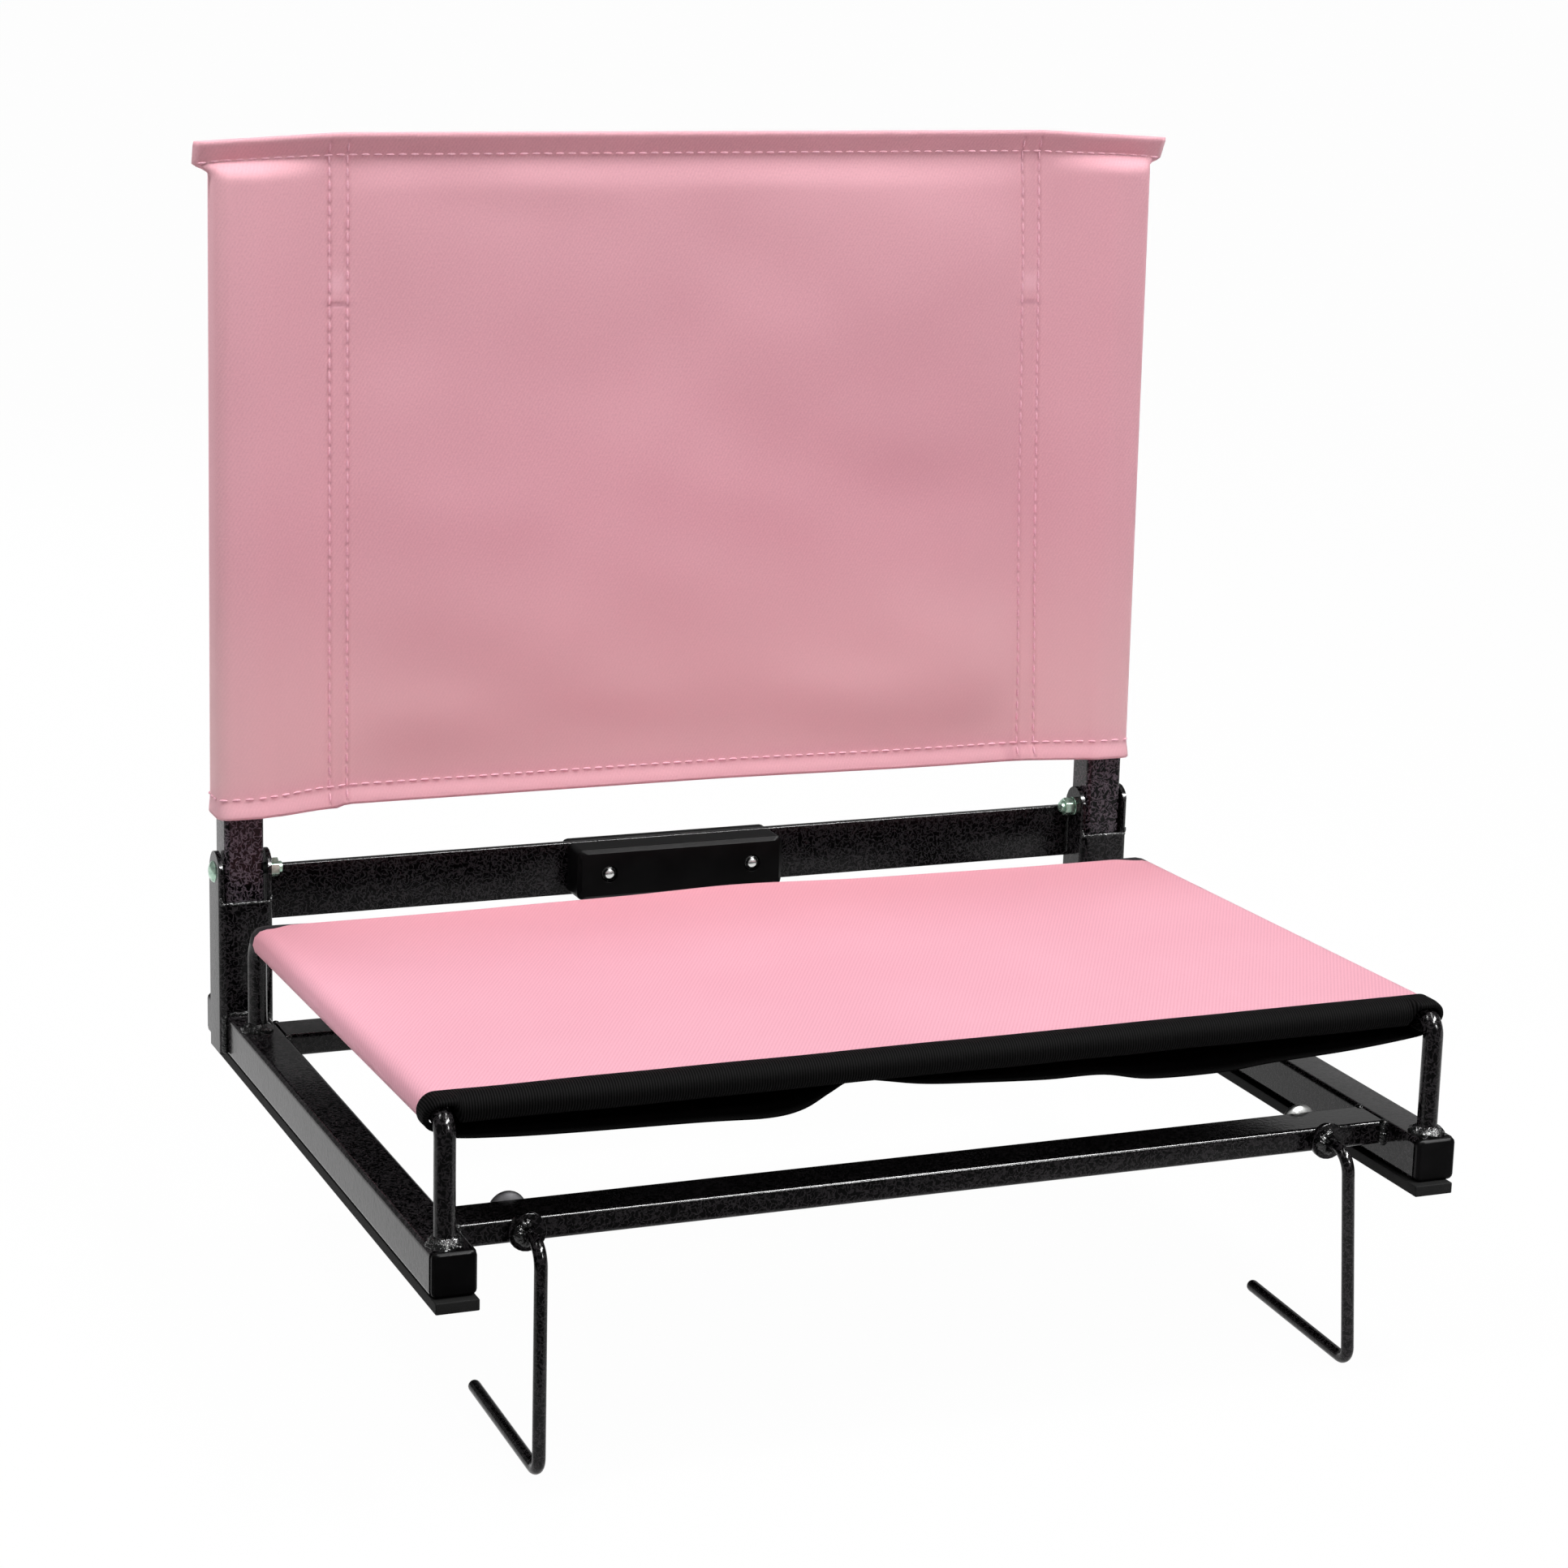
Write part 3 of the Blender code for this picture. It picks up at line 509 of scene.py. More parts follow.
def skirt(bm, middle, inner, outer, height):
    """A lumpy fillet round the foot of a rod that stands on the rail."""
    middle = Vector(middle)
    rises = 6
    lump_size = 0.0013
    belly = 0.0011
    fillet = bmesh.new()
    slant = []
    for step in range(rises + 1):
        share = step / rises
        slant.append(fillet.verts.new((outer + (inner - outer) * share, 0, height * share)))
    lines = [fillet.edges.new(pair) for pair in zip(slant, slant[1:])]
    bmesh.ops.spin(
        fillet, geom=slant + lines, cent=(0, 0, 0), axis=(0, 0, 1),
        angle=math.tau, steps=44, use_merge=True,
    )
    for point in fillet.verts:
        away = Vector((point.co.x, point.co.y, 0)).normalized()
        place = point.co + middle
        lump = noise.noise(place * 420.0) + 0.5 * noise.noise(place * 900.0)
        share = point.co.z / height
        point.co += away * (lump_size * lump + belly * math.sin(math.pi * share))
        point.co.z += 0.0006 * lump * share
    mesh = as_mesh("weld_skirt", fillet)
    set_down(bm, mesh, Matrix.Translation(middle))
    bpy.data.meshes.remove(mesh)


def upright_bead(bm, x, y, low, high, size):
    bead(bm, (x, y, low), (x, y, high), size)


welds = bmesh.new()
rail_low, rail_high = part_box("right_rail")
bracket_low, bracket_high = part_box("right_hinge_bracket")
rail_middle = (rail_low.x + rail_high.x) / 2
skirt_inner, skirt_outer, skirt_height = 0.0046, 0.0080, 0.0042
bar_bead = 0.0023
ear_bead = 0.0016
foot_bead = 0.0015
foot_half = 0.008
carry_bead = 0.0013
half_plate = 0.0012
lip_bead = 0.0009
lip_below_top = 0.0260
lip_end = Vector((0.0122, 0, 0))
upturn_bead = 0.0008
upturn_out, upturn_rise = 0.0006, 0.0030
for side, out in (("left", -1), ("right", 1)):
    for rod in (seat_front, seat_rear):
        foot = (seat_rod_x[side], rod.y, rail_high.z)
        skirt(welds, foot, skirt_inner, skirt_outer, skirt_height)
    for end in ("front", "rear"):
        low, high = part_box(f"{end}_crossbar")
        rail_face = out * (rail_low.x - 0.0004)
        for y in (low.y - 0.0002, high.y + 0.0002):
            upright_bead(welds, rail_face, y, low.z + 0.001, high.z - 0.0006, bar_bead)
    for ear in (bracket_high.x - half_plate, bracket_low.x + half_plate):
        front = bracket_low.y + 0.0005
        upright_bead(welds, out * ear, front, rail_low.z + 0.002, rail_high.z - 0.001, ear_bead)
    foot = Vector((out * rail_middle, bracket_low.y, rail_high.z + 0.0006))
    foot_end = Vector((foot_half, 0, 0))
    bead(welds, foot - foot_end, foot + foot_end, foot_bead)
    lip_height = (bracket_high.z - lip_below_top - bracket_low.z) * bracket_rise[side]
    lip = Vector((out * rail_middle, bracket_low.y + 0.0008, bracket_low.z + lip_height))
    bead(welds, lip - lip_end, lip + lip_end, lip_bead)
    for way in (1, -1):
        lip_corner = lip + way * lip_end
        bead(welds, lip_corner, lip_corner + Vector((way * upturn_out, 0, upturn_rise)), upturn_bead)
    seam = out * (carry_high.x - 0.0002)
    for y in (carry_low.y - 0.0003, carry_high.y + 0.0003):
        upright_bead(welds, seam, y, carry_low.z + 0.002, carry_high.z - 0.002, carry_bead)
fit("base_welds", welds, weld_coat, "powder_coat", "base")


# Seat sling: one piece of heavy pink twill stretched between the two seat rods.
# Its sides turn round the rods as sleeves, the rear edge is narrowly bound in black, and the front
# edge goes into the webbing.
rod_x = rail_middle
sleeve_radius = 0.0064
sling_wrap = math.radians(215)
seat_slope = math.atan2(seat_front.z - seat_rear.z, seat_rear.y - seat_front.y)
bend_reach = seat_front_bend * math.tan((math.pi / 2 + seat_slope) / 2)
run_start = Vector((0, seat_front.y + bend_reach, seat_front.z - bend_reach * seat_slope))
run_length = seat_rear.y - seat_rear_bend - run_start.y
sling_width = 2 * (rod_x + sleeve_radius * sling_wrap)
sling_start = 0.0062
sling_length = run_length - sling_start + 0.0032
sling_thickness = 0.0013
twill_pitch = 0.0016


def flat_place(spot):
    """Where a point lay on the flat cloth, in metres, from the cut's own map."""
    cut = spot.node("ShaderNodeUVMap", {"uv_map": "flat"}, {})
    return cut, cut.axis(0), cut.axis(1)


def pink_twill(name, clear):
    """Heavy cotton twill: steep fine lines, more or less clear, slubs in the yarn, cloudy dye."""
    made, sockets, spot = new_finish(
        name, Specular_IOR_Level=0.06, Sheen_Weight=0.08, Sheen_Roughness=0.5
    )
    cut, across, along = flat_place(spot)
    lines = (0.87 * across - 0.49 * along).wave(twill_pitch)
    slubs = cut.speckle(900.0)
    cloud = spot.speckle(9.0)
    palest = 0.4 * clear
    tone = (lines * clear + slubs * 0.40 + cloud * 0.38).between(0.10 + palest, 0.74 + palest)
    height = (lines * (2.7 * clear) + slubs * 0.7) * 0.00006
    (0.74 + 0.16 * slubs).feed(sockets["Roughness"])
    return made, sockets, across, along, tone, height


pink_cloth, pink, across, along, tone, height = pink_twill("pink_cloth", clear=0.26)
colour_with_painted_shading = tone.mix((0.710, 0.338, 0.416, 1.0), (0.832, 0.426, 0.511, 1.0))
# Painted shade: the seat is painted darker toward its back, next to the back cover.
painted_shade_toward_back = along.between(0.020, 0.150) * 0.60
colour_with_painted_shading = painted_shade_toward_back.mix(colour_with_painted_shading, (0.578, 0.240, 0.282, 1.0))
bound_width = 0.0036 + 0.0045 * abs(across).between(0.222, 0.236)
rear_bound = (along - (sling_length / 2 - bound_width)).between(0.0, 0.0004)
colour_with_painted_shading = rear_bound.mix(colour_with_painted_shading, (0.006, 0.004, 0.006, 1.0))
colour_with_painted_shading.feed(pink["Base Color"])
height.raised(depth=1.0, strength=0.9).feed(pink["Normal"])


def cut_cloth(width, length, columns, rows, lay, crowd=0.0):
    """A flat cut of cloth with its own map, laid point by point where it goes."""
    bm = bmesh.new()
    bmesh.ops.create_grid(bm, x_segments=columns, y_segments=rows, size=0.5)
    if crowd:
        for point in bm.verts:
            point.co.y = 0.5 * math.sin(2 * point.co.y * crowd) / math.sin(crowd)
    bmesh.ops.scale(bm, vec=(width, length, 1.0), verts=bm.verts)
    flat = bm.loops.layers.uv.new("flat")
    for face in bm.faces:
        for corner in face.loops:
            corner[flat].uv = corner.vert.co.xy
    for point in bm.verts:
        point.co = lay(point.co.x, point.co.y + length / 2)
    return bm


def sew(name, bm, finish, slot, body, thickness, *nodes):
    """A piece of cloth, ready to show, with its thickness on both sides of the laid cut."""
    mesh = as_mesh(name, bm)
    mesh.materials.append(finish)
    mesh.shade_smooth()
    piece = put_in_scene(name, mesh)
    body_of_cloth = piece.modifiers.new("Thickness of the cloth", "SOLIDIFY")
    body_of_cloth.thickness = thickness
    body_of_cloth.offset = 0.0
    declare(piece, body, nodes)
    return piece


def on_run(x, y, z):
    """A point by the rods' straight run, given from the run's front end."""
    tilt = Matrix.Rotation(-seat_slope, 3, "X")
    return run_start + tilt @ Vector((x, y, z))


def round_rods(across, radius):
    """Sideways and upward place on a line that goes over both rods, and the way it faces."""
    side = math.copysign(1.0, across)
    rod = abs(seat_rod_x["left" if across < 0 else "right"])
    turn = max(0.0, abs(across) - rod_x) / radius
    x = side * (min(abs(across), rod_x) * rod / rod_x + radius * math.sin(turn))
    return x, radius * math.cos(turn), side * math.sin(turn), math.cos(turn)


sling_dip = 0.0011
sling_ripple = 0.0007
sling_bow = 0.0026
rear_tuck = 0.0020
rear_tuck_run = 0.0025
tail_pull = 0.0050
tail_run = 0.030
turn_run = 0.010
hidden_pull = 0.0080
hidden_run = 0.030


def lay_sling(across, along):
    """Over both rods: a slight dip and ripple, a bowed rear edge, sleeves cut back at their ends."""
    x, z = round_rods(across, sleeve_radius)[:2]
    y = sling_start + along
    reach = max(0.0, along / sling_length)
    to_rear = along - sling_length
    flat_share = max(0.0, 1.0 - (abs(across) / rod_x) ** 4)
    round_off = max(0.0, abs(across) - rod_x + turn_run) / (turn_run + sleeve_radius * sling_wrap)
    tail = max(0.0, to_rear + tail_run) / tail_run
    y -= tail_pull * round_off * tail * tail
    dip = sling_dip * flat_share * math.sin(math.pi * min(1.0, reach))
    ripple = sling_ripple * flat_share * noise.noise(Vector((across * 14, along * 20, 3.1)))
    tuck = max(0.0, to_rear + rear_tuck_run) / rear_tuck_run
    bow = sling_bow * math.exp(-((across - 0.005) / 0.070) ** 2) * reach ** 8
    sag = seat_rear_sag["right"] * max(0.0, across / rod_x) * reach
    z += ripple - dip + bow - min(sag, seat_rear_sag["right"]) - rear_tuck * tuck * tuck * flat_share
    hidden = max(0.0, abs(across) - rod_x - sleeve_radius * 2.1) / 0.003
    y += hidden_pull * min(1.0, hidden) * max(0.0, 1.0 - along / hidden_run)
    lever = seat_rear_bend + z
    past = max(0.0, y - run_length) / lever
    down_bend = lever * math.cos(past) - seat_rear_bend
    return on_run(x, min(y, run_length) + lever * math.sin(past), down_bend)


sling = cut_cloth(sling_width, sling_length, 150, 84, lay_sling)
seat_sling = sew(
    "seat_sling_cloth", sling, pink_cloth, "pink_cloth", "base", sling_thickness, "seat_sling"
)


# Seat binding: black ribbed webbing folded over the front edge of the sling and round its sleeves.
# Woven with cross ribs, turned down in front and left open where the rods come out.
black_webbing, webbing, spot = new_finish("black_webbing", Specular_IOR_Level=0.02)
cut, across, along = flat_place(spot)
rib_pitch = 0.00125
ribs = across.wave(rib_pitch)
fuzz = cut.speckle(1400.0)
# Painted highlight: the rib tops are painted lighter, with random fuzz in the tone.
painted_rib_highlight = (ribs * 0.65 + fuzz * 0.35).between(0.25, 0.85)
painted_rib_highlight.mix((0.0008, 0.0008, 0.0009, 1.0), (0.0105, 0.0100, 0.0103, 1.0)).feed(webbing["Base Color"])
(0.62 + 0.2 * fuzz).feed(webbing["Roughness"])
(ribs + fuzz * 0.5).raised(depth=0.00024, strength=0.7).feed(webbing["Normal"])

binding_thickness = 0.0010
binding_radius = 0.0076
binding_top = 0.0100
binding_roll = 0.0064
binding_roll_at_rod = 0.0010
binding_turn = math.radians(150)
binding_length = binding_top - binding_roll + binding_roll * binding_turn
binding_width = 2 * (rod_x + binding_radius * sling_wrap)
binding_front = -0.0030
binding_front_at_rod = -0.0062
binding_lining = 0.0090
binding_sway = 0.0005


def ease(value):
    value = min(1.0, max(0.0, value))
    return value * value * (3 - 2 * value)


def lay_binding(across, along):
    """Round the sling's front edge: a full roll between the rods, flat and further forward over them."""
    x, z, face_x, face_z = round_rods(across, binding_radius)
    inboard = ease((rod_x - abs(across) - 0.0053) / 0.0042)
    roll = binding_roll_at_rod + (binding_roll - binding_roll_at_rod) * inboard
    front = binding_front_at_rod + (binding_front - binding_front_at_rod) * inboard
    level = binding_top - roll - front + binding_front
    lining = binding_lining * (1.0 - inboard)
    path = along / binding_length * (level + roll * binding_turn + lining)
    turn = min(binding_turn, max(0.0, path - level) / roll)
    inside = max(0.0, path - level - roll * binding_turn)
    y = front + max(roll, level + roll - path) - roll * math.sin(turn) + inside
    drop = roll * (1 - math.cos(turn))
    sway = binding_sway * noise.noise(Vector((across * 22, along * 60, 8.2)))
    height = z - face_z * drop + sway * 0.6
    lever = seat_front_bend + height
    past = max(0.0, -y) / (seat_front_bend + binding_radius) * (1.0 - inboard)
    y = max(y, y * inboard) - lever * math.sin(past)
    return on_run(x - face_x * drop, y + sway * min(1.0, turn), height - lever * (1 - math.cos(past)))


binding = cut_cloth(binding_width, binding_length, 420, 22, lay_binding)
seat_binding = sew(
    "seat_binding_webbing", binding, black_webbing, "black_cloth", "base", binding_thickness,
    "seat_binding",
)


# Seat underside: two black cloth flaps that close the rod sleeves below the sling.
# Sewn to the sleeves' lower edges and to the sling along one line, slack in between.
black_cloth, under, spot = new_finish("black_cloth", Specular_IOR_Level=0.02)
cut, across, along = flat_place(spot)
weave_pitch = 0.0012
checks = across.wave(weave_pitch) * along.wave(weave_pitch)
fuzz = cut.speckle(1100.0)
nap = (checks * 0.5 + fuzz * 0.5).between(0.2, 0.8)
nap.mix((0.0012, 0.0011, 0.0012, 1.0), (0.0040, 0.0038, 0.0041, 1.0)).feed(under["Base Color"])
(0.78 + 0.14 * fuzz).feed(under["Roughness"])
(checks + fuzz * 0.5).raised(depth=0.00015, strength=0.5).feed(under["Normal"])


def measured(points):
    """A line of points, with the length that is reached at each."""
    lengths = [0.0]
    for near, far in zip(points, points[1:]):
        lengths.append(lengths[-1] + (far - near).length)
    return points, lengths


def along_line(line, share):
    """The place at a share of a measured line's length."""
    points, lengths = line
    goal = share * lengths[-1]
    step = 0
    while step < len(points) - 2 and lengths[step + 1] < goal:
        step += 1
    gap = max(1e-9, lengths[step + 1] - lengths[step])
    return points[step].lerp(points[step + 1], (goal - lengths[step]) / gap)


def smooth_line(points, count):
    """Evenly spaced places, count + 1 of them, on a smooth line through the points given."""
    parts = 24
    points = [Vector(point) for point in points]
    fine = []
    for step in range(len(points) - 1):
        before = points[max(0, step - 1)]
        start, end = points[step], points[step + 1]
        after = points[min(len(points) - 1, step + 2)]
        bend = 2 * before - 5 * start + 4 * end - after
        twist = 3 * start - before - 3 * end + after
        for part in range(parts):
            t = part / parts
            fine.append(0.5 * (2 * start + (end - before) * t + bend * t * t + twist * t * t * t))
    fine.append(points[-1])
    line = measured(fine)
    return [along_line(line, step / count) for step in range(count + 1)], line[1][-1]


flap_seam = (-0.0480, -0.0030)
sleeve_edge_x = rod_x + sleeve_radius * math.sin(sling_wrap)
sleeve_edge_z = sleeve_radius * math.cos(sling_wrap) - 0.0012
left_droop = [
    (-sleeve_edge_x - 0.0030, sleeve_edge_z), (-0.2368, -0.0090), (-0.2325, -0.0112),
    (-0.2150, -0.0128), (-0.1850, -0.0142), (-0.1210, -0.0158), (-0.0900, -0.0170),
    (-0.0740, -0.0148), (-0.0620, -0.0088), (-0.0540, -0.0045), flap_seam,
]
right_droop = [
    (sleeve_edge_x + 0.0050, sleeve_edge_z), (0.2400, -0.0090), (0.2320, -0.0108),
    (0.1990, -0.0138), (0.1580, -0.0158), (0.1330, -0.0178), (0.0960, -0.0172),
    (0.0720, -0.0130), (0.0440, -0.0126), (0.0120, -0.0108), (-0.0150, -0.0088),
    (-0.0350, -0.0055), flap_seam,
]
flap_front = 0.0015
flap_length = run_length - flap_front - 0.004
flap_thickness = 0.0010
flap_lift = 0.0035
flap_wave = 0.0022
for side, droop, columns in (("left", left_droop, 72), ("right", right_droop, 96)):
    line, flap_width = smooth_line([(x, 0, z) for x, z in droop], columns)

    def lay_flap(across, along):
        """Along the drooping line, with slack that lifts and waves toward the rear."""
        place = min(columns, max(0, round((across / flap_width + 0.5) * columns)))
        point = line[place]
        share = place / columns
        slack = 4 * share * (1 - share)
        lift = flap_lift * slack * (along / flap_length)
        wave = flap_wave * slack * noise.noise(Vector((point.x * 18, along * 16, 5.7)))
        return on_run(point.x, flap_front + along, point.z + lift + wave * min(1.0, along / 0.05))

    flap = cut_cloth(flap_width, flap_length, columns, 60, lay_flap)
    piece = sew(
        f"{side}_seat_flap_cloth", flap, black_cloth, "black_cloth", "base", flap_thickness,
        f"{side}_seat_flap",
    )


# Back posts: two uprights of the same square tube that turn on the pivot bolts.
# Closed by a plastic plug at the bottom and a cap under the cloth at the top.
# The posts wear the same hammered coat, with lighter, pinker flecks as painted light and a painted
# reflection of the pink seat.
post_coat_painted_reflection = hammered("post_coat_painted_reflection", (0.110, 0.088, 0.106, 1.0))
for side in sides:
    post = rounded_bar(*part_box(f"{side}_back_post"), tube_corner, "Z")
    fit(f"{side}_back_post_tube", post, post_coat_painted_reflection, "powder_coat", "back", f"{side}_back_post")
    for end in ("post_cap", "post_plug"):
        node = f"{side}_{end}"
        fit(f"{node}_moulding", eased(node, plug_ease), black_plastic, "black_plastic", "back", node)


# Back cover: a wide sleeve of pink twill pulled down over both posts.
# Two layers sewn together beside the posts with double rows, a flat top hem and a turned-up bottom hem.
cover_low, cover_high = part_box("back_cover")
cover_y = (cover_low.y + cover_high.y) / 2
cover_bottom = cover_low.z
cover_top = cover_high.z
cover_rise = cover_top - cover_bottom
cover_thickness = 0.0012
post_x = rod_x
sleeve_face = 0.0109
sleeve_outer = 0.24865
sleeve_corner = 0.0050
seam_x = 0.1870
layer_gap = 0.0008
hem_outer = 0.2580
hem_height = 0.0102
hem_slope = 0.0098
hem_gap = 0.0013
hem_lean = 0.0048
hem_droop = 0.0040
hem_line = cover_top - hem_height


def corner_arc(middle, radius, start, end, steps=6):
    """Points round a corner, from one angle to another in degrees."""
    turns = [math.radians(start + (end - start) * step / steps) for step in range(steps + 1)]
    return [(middle[0] + radius * math.cos(turn), middle[1] + radius * math.sin(turn)) for turn in turns]


def half_plan(front):
    """Half of the cover's plan, from the middle of the front round the post to the middle of the rear."""
    plan = front + [(x, -y) for x, y in reversed(front)]
    return measured([Vector((x, y, 0)) for x, y in plan])


sleeve_front = [(0, -layer_gap), (seam_x - 0.004, -layer_gap), (seam_x + 0.006, -0.0018)]
sleeve_front += [(post_x - 0.014, -0.0085), (post_x - 0.008, -sleeve_face)]
sleeve_turn = (sleeve_outer - sleeve_corner, -sleeve_face + sleeve_corner)
sleeve_front += corner_arc(sleeve_turn, sleeve_corner, -90, 0)
sleeve_half = half_plan(sleeve_front)
hem_front = [(0, -hem_gap), (seam_x, -hem_gap), (post_x, -hem_gap)]
hem_front += corner_arc((hem_outer - hem_gap, 0), hem_gap, -90, 0)
hem_half = half_plan(hem_front)
half_round = sleeve_half[1][-1]
cover_width = 2 * half_round
cover_turn = 0.0020
cover_length = cover_rise + cover_turn
cover_puff = 0.0036
cover_flare = 0.0026
flare_rise = 0.0100
sleeve_ease = 0.0020
broad_wave = 0.0030
small_wave = 0.0012


def lay_cover(across, along):
    """Round both posts: a belly between the seams, a flat leaning hem, loose sleeves, a hanging foot."""
    side = math.copysign(1.0, across)
    share = abs(across) / half_round
    up = min(along, cover_rise)
    z = cover_bottom + up
    over = max(0.0, along - cover_rise) / cover_turn
    past_hem = max(0.0, z - hem_line) / hem_height
    to_hem = min(1.0, max(0.0, (z - hem_line + hem_slope) / hem_slope)) ** 1.4
    spot = along_line(sleeve_half, share).lerp(along_line(hem_half, share), to_hem)
    x = side * spot.x
    y = spot.y * (1.0 - over * 0.9)
    droop = hem_droop * to_hem * max(0.0, (abs(x) - seam_x) / (hem_outer - seam_x))

    middle = ease((seam_x + 0.012 - abs(x)) / 0.045)
    belly = ease((hem_line - z) / 0.018) * ease((up - 0.008) / 0.045)
    waves = broad_wave * noise.noise(Vector((x * 5.0, z * 9.0, 2.3)))
    waves += small_wave * noise.noise(Vector((x * 13.0 + z * 9.0, z * 24.0, 7.9)))
    y += (waves - cover_puff) * middle * belly
    flare = -cover_flare * ease(1.0 - up / flare_rise) * math.copysign(1.0, -spot.y)
    y += flare * (1.0 - to_hem) - hem_lean * past_hem

    x += side * 0.0004 * past_hem * ease((abs(x) - 0.21) / 0.04)
    loose = max(0.0, 1.0 - up / (hem_line - cover_bottom))
    x += side * sleeve_ease * loose * ease((abs(x) - 0.215) / 0.030)
    step = ease((-x - seam_x + 0.003) / 0.004) * (1.0 - ease((-x - seam_x - 0.004) / 0.045))
    droop += 0.0015 * step * (1.0 - ease(up / 0.014))
    hang = 0.0016 * ease(x / 0.150) + 0.0018 * ease((-x - 0.195) / 0.030)
    droop += hang * (1.0 - ease(up / 0.060))
    crown = 0.0006 * math.sin(min(1.0, over) * math.pi / 2)
    return Vector((x, cover_y + y, z - droop + crown))


row_foot = 0.0020
row_head = cover_length - 0.0045
row_ends = ((-0.1926, -0.1917), (-0.1834, -0.1824), (0.1880, 0.1770), (0.1975, 0.1866))
stitch_pitch = (row_head - row_foot) / 53

pink_cover, pink, across, along, tone, height = pink_twill("pink_cover", clear=0.08)
along = along + cover_length / 2
beside_row = 1.0
for foot, head in row_ends:
    lean = (head - foot) / (row_head - row_foot)
    off_row = abs(across - (along - row_foot) * lean - foot)
    beside_row = off_row.math("MINIMUM", off_row, beside_row)
# Painted shade: the stitch holes along the rows are painted darker.
stitch_holes_painted_shade = (along - row_foot).wave(stitch_pitch).between(0.72, 1.0) * beside_row.between(0.0011, 0.0003)
groove = beside_row.between(0.0024, 0.0)
from_seam = ((abs(across + 0.0018) - 0.1862) / 0.0052).power(4.0)
slant = along + across * 0.015
# Painted shade in a small crease across each seam, with a painted highlight on a patch just above it.
seam_crease_painted_shade = 1.0 / (1.0 + from_seam + ((slant - 0.2475) / 0.0013).power(4.0))
painted_crease_highlight = 1.0 / (1.0 + from_seam * 2.0 + ((slant - 0.2580) / 0.0046).power(4.0))
# Painted shadow in the tuck at the foot of each seam.
painted_tuck_shadow = 1.0 / (1.0 + from_seam * 1.5 + (along / 0.0085).power(4.0))
# Painted light: the cover is painted lighter toward its bottom, next to the seat.
painted_light_low = along.between(0.170, 0.0) * 0.50
# Painted light: a lighter, warmer band just above the bottom hem.
painted_warm_light_band = along.between(0.006, 0.020) * along.between(0.150, 0.030) * 0.22
colour_with_painted_shading = (tone - stitch_holes_painted_shade * 0.40).between(0.0, 1.0)
colour_with_painted_shading = colour_with_painted_shading.mix((0.725, 0.366, 0.424, 1.0), (0.850, 0.456, 0.516, 1.0))
colour_with_painted_shading = painted_light_low.mix(colour_with_painted_shading, (0.840, 0.490, 0.540, 1.0))
colour_with_painted_shading = painted_warm_light_band.mix(colour_with_painted_shading, (0.880, 0.660, 0.600, 1.0))
colour_with_painted_shading = (painted_crease_highlight * 0.38).mix(colour_with_painted_shading, (0.980, 0.600, 0.680, 1.0))
colour_with_painted_shading = (seam_crease_painted_shade * 0.34 + painted_tuck_shadow * 0.26).mix(colour_with_painted_shading, (0.440, 0.190, 0.240, 1.0))
colour_with_painted_shading.feed(pink["Base Color"])
relief = height - groove * 0.00028 - stitch_holes_painted_shade * 0.00020 - seam_crease_painted_shade * 0.0003
relief.raised(depth=1.0, strength=0.9).feed(pink["Normal"])

cover = cut_cloth(cover_width, cover_length, 268, 104, lay_cover, crowd=1.25)
bmesh.ops.remove_doubles(cover, verts=cover.verts, dist=0.00002)
back_cover = sew(
    "back_cover_cloth", cover, pink_cover, "pink_cloth", "back", cover_thickness, "back_cover"
)


# Stitching of the back cover: lock stitch in a slightly lighter pink thread.
# Double rows beside each post, one row along the top hem and one along the bottom hem, front and rear.
pink_thread, thread, spot = new_finish("pink_thread", Specular_IOR_Level=0.25, Sheen_Weight=0.1)
twist = spot.speckle(1800.0, detail=1.0)
twist.between(0.3, 0.7).mix((0.80, 0.40, 0.50, 1.0), (0.93, 0.55, 0.64, 1.0)).feed(thread["Base Color"])
(0.55 + 0.2 * twist).feed(thread["Roughness"])

stitch_long = 0.0044
thread_size = 0.00060
side_face_x = 0.235
stitch = small_shape("stitch", bmesh.ops.create_uvsphere, u_segments=8, v_segments=5, radius=1.0)
stitch_shape = Matrix.Diagonal((stitch_long / 2, thread_size, thread_size, 1.0))
stitch_lift = cover_thickness / 2 + thread_size * 0.35


def sew_row(bm, start, end):
    """Stitches from start to end on the flat cloth, each lying on the cloth where it is laid."""
    start = Vector(start)
    end = Vector(end)
    count = round((end - start).length / stitch_pitch)
    for step in range(count):
        middle = start.lerp(end, (step + 0.5) / count)
        ahead = start.lerp(end, (step + 0.7) / count)
        beside = middle + Vector((ahead.y - middle.y, middle.x - ahead.x))
        spot = lay_cover(middle.x, middle.y)
        run = (lay_cover(ahead.x, ahead.y) - spot).normalized()
        out = run.cross(lay_cover(beside.x, beside.y) - spot).normalized()
        sideways = math.copysign(1.0, spot.x) if abs(spot.x) > side_face_x else 0.0
        outward = Vector((sideways, 1.0 if abs(middle.x) > half_round / 2 else -1.0, 0))
        if out.dot(outward) < 0:
            out = -out
        aim = Matrix((run, out.cross(run), out)).transposed().to_4x4()
        set_down(bm, stitch, Matrix.Translation(spot + out * stitch_lift) @ aim @ stitch_shape)


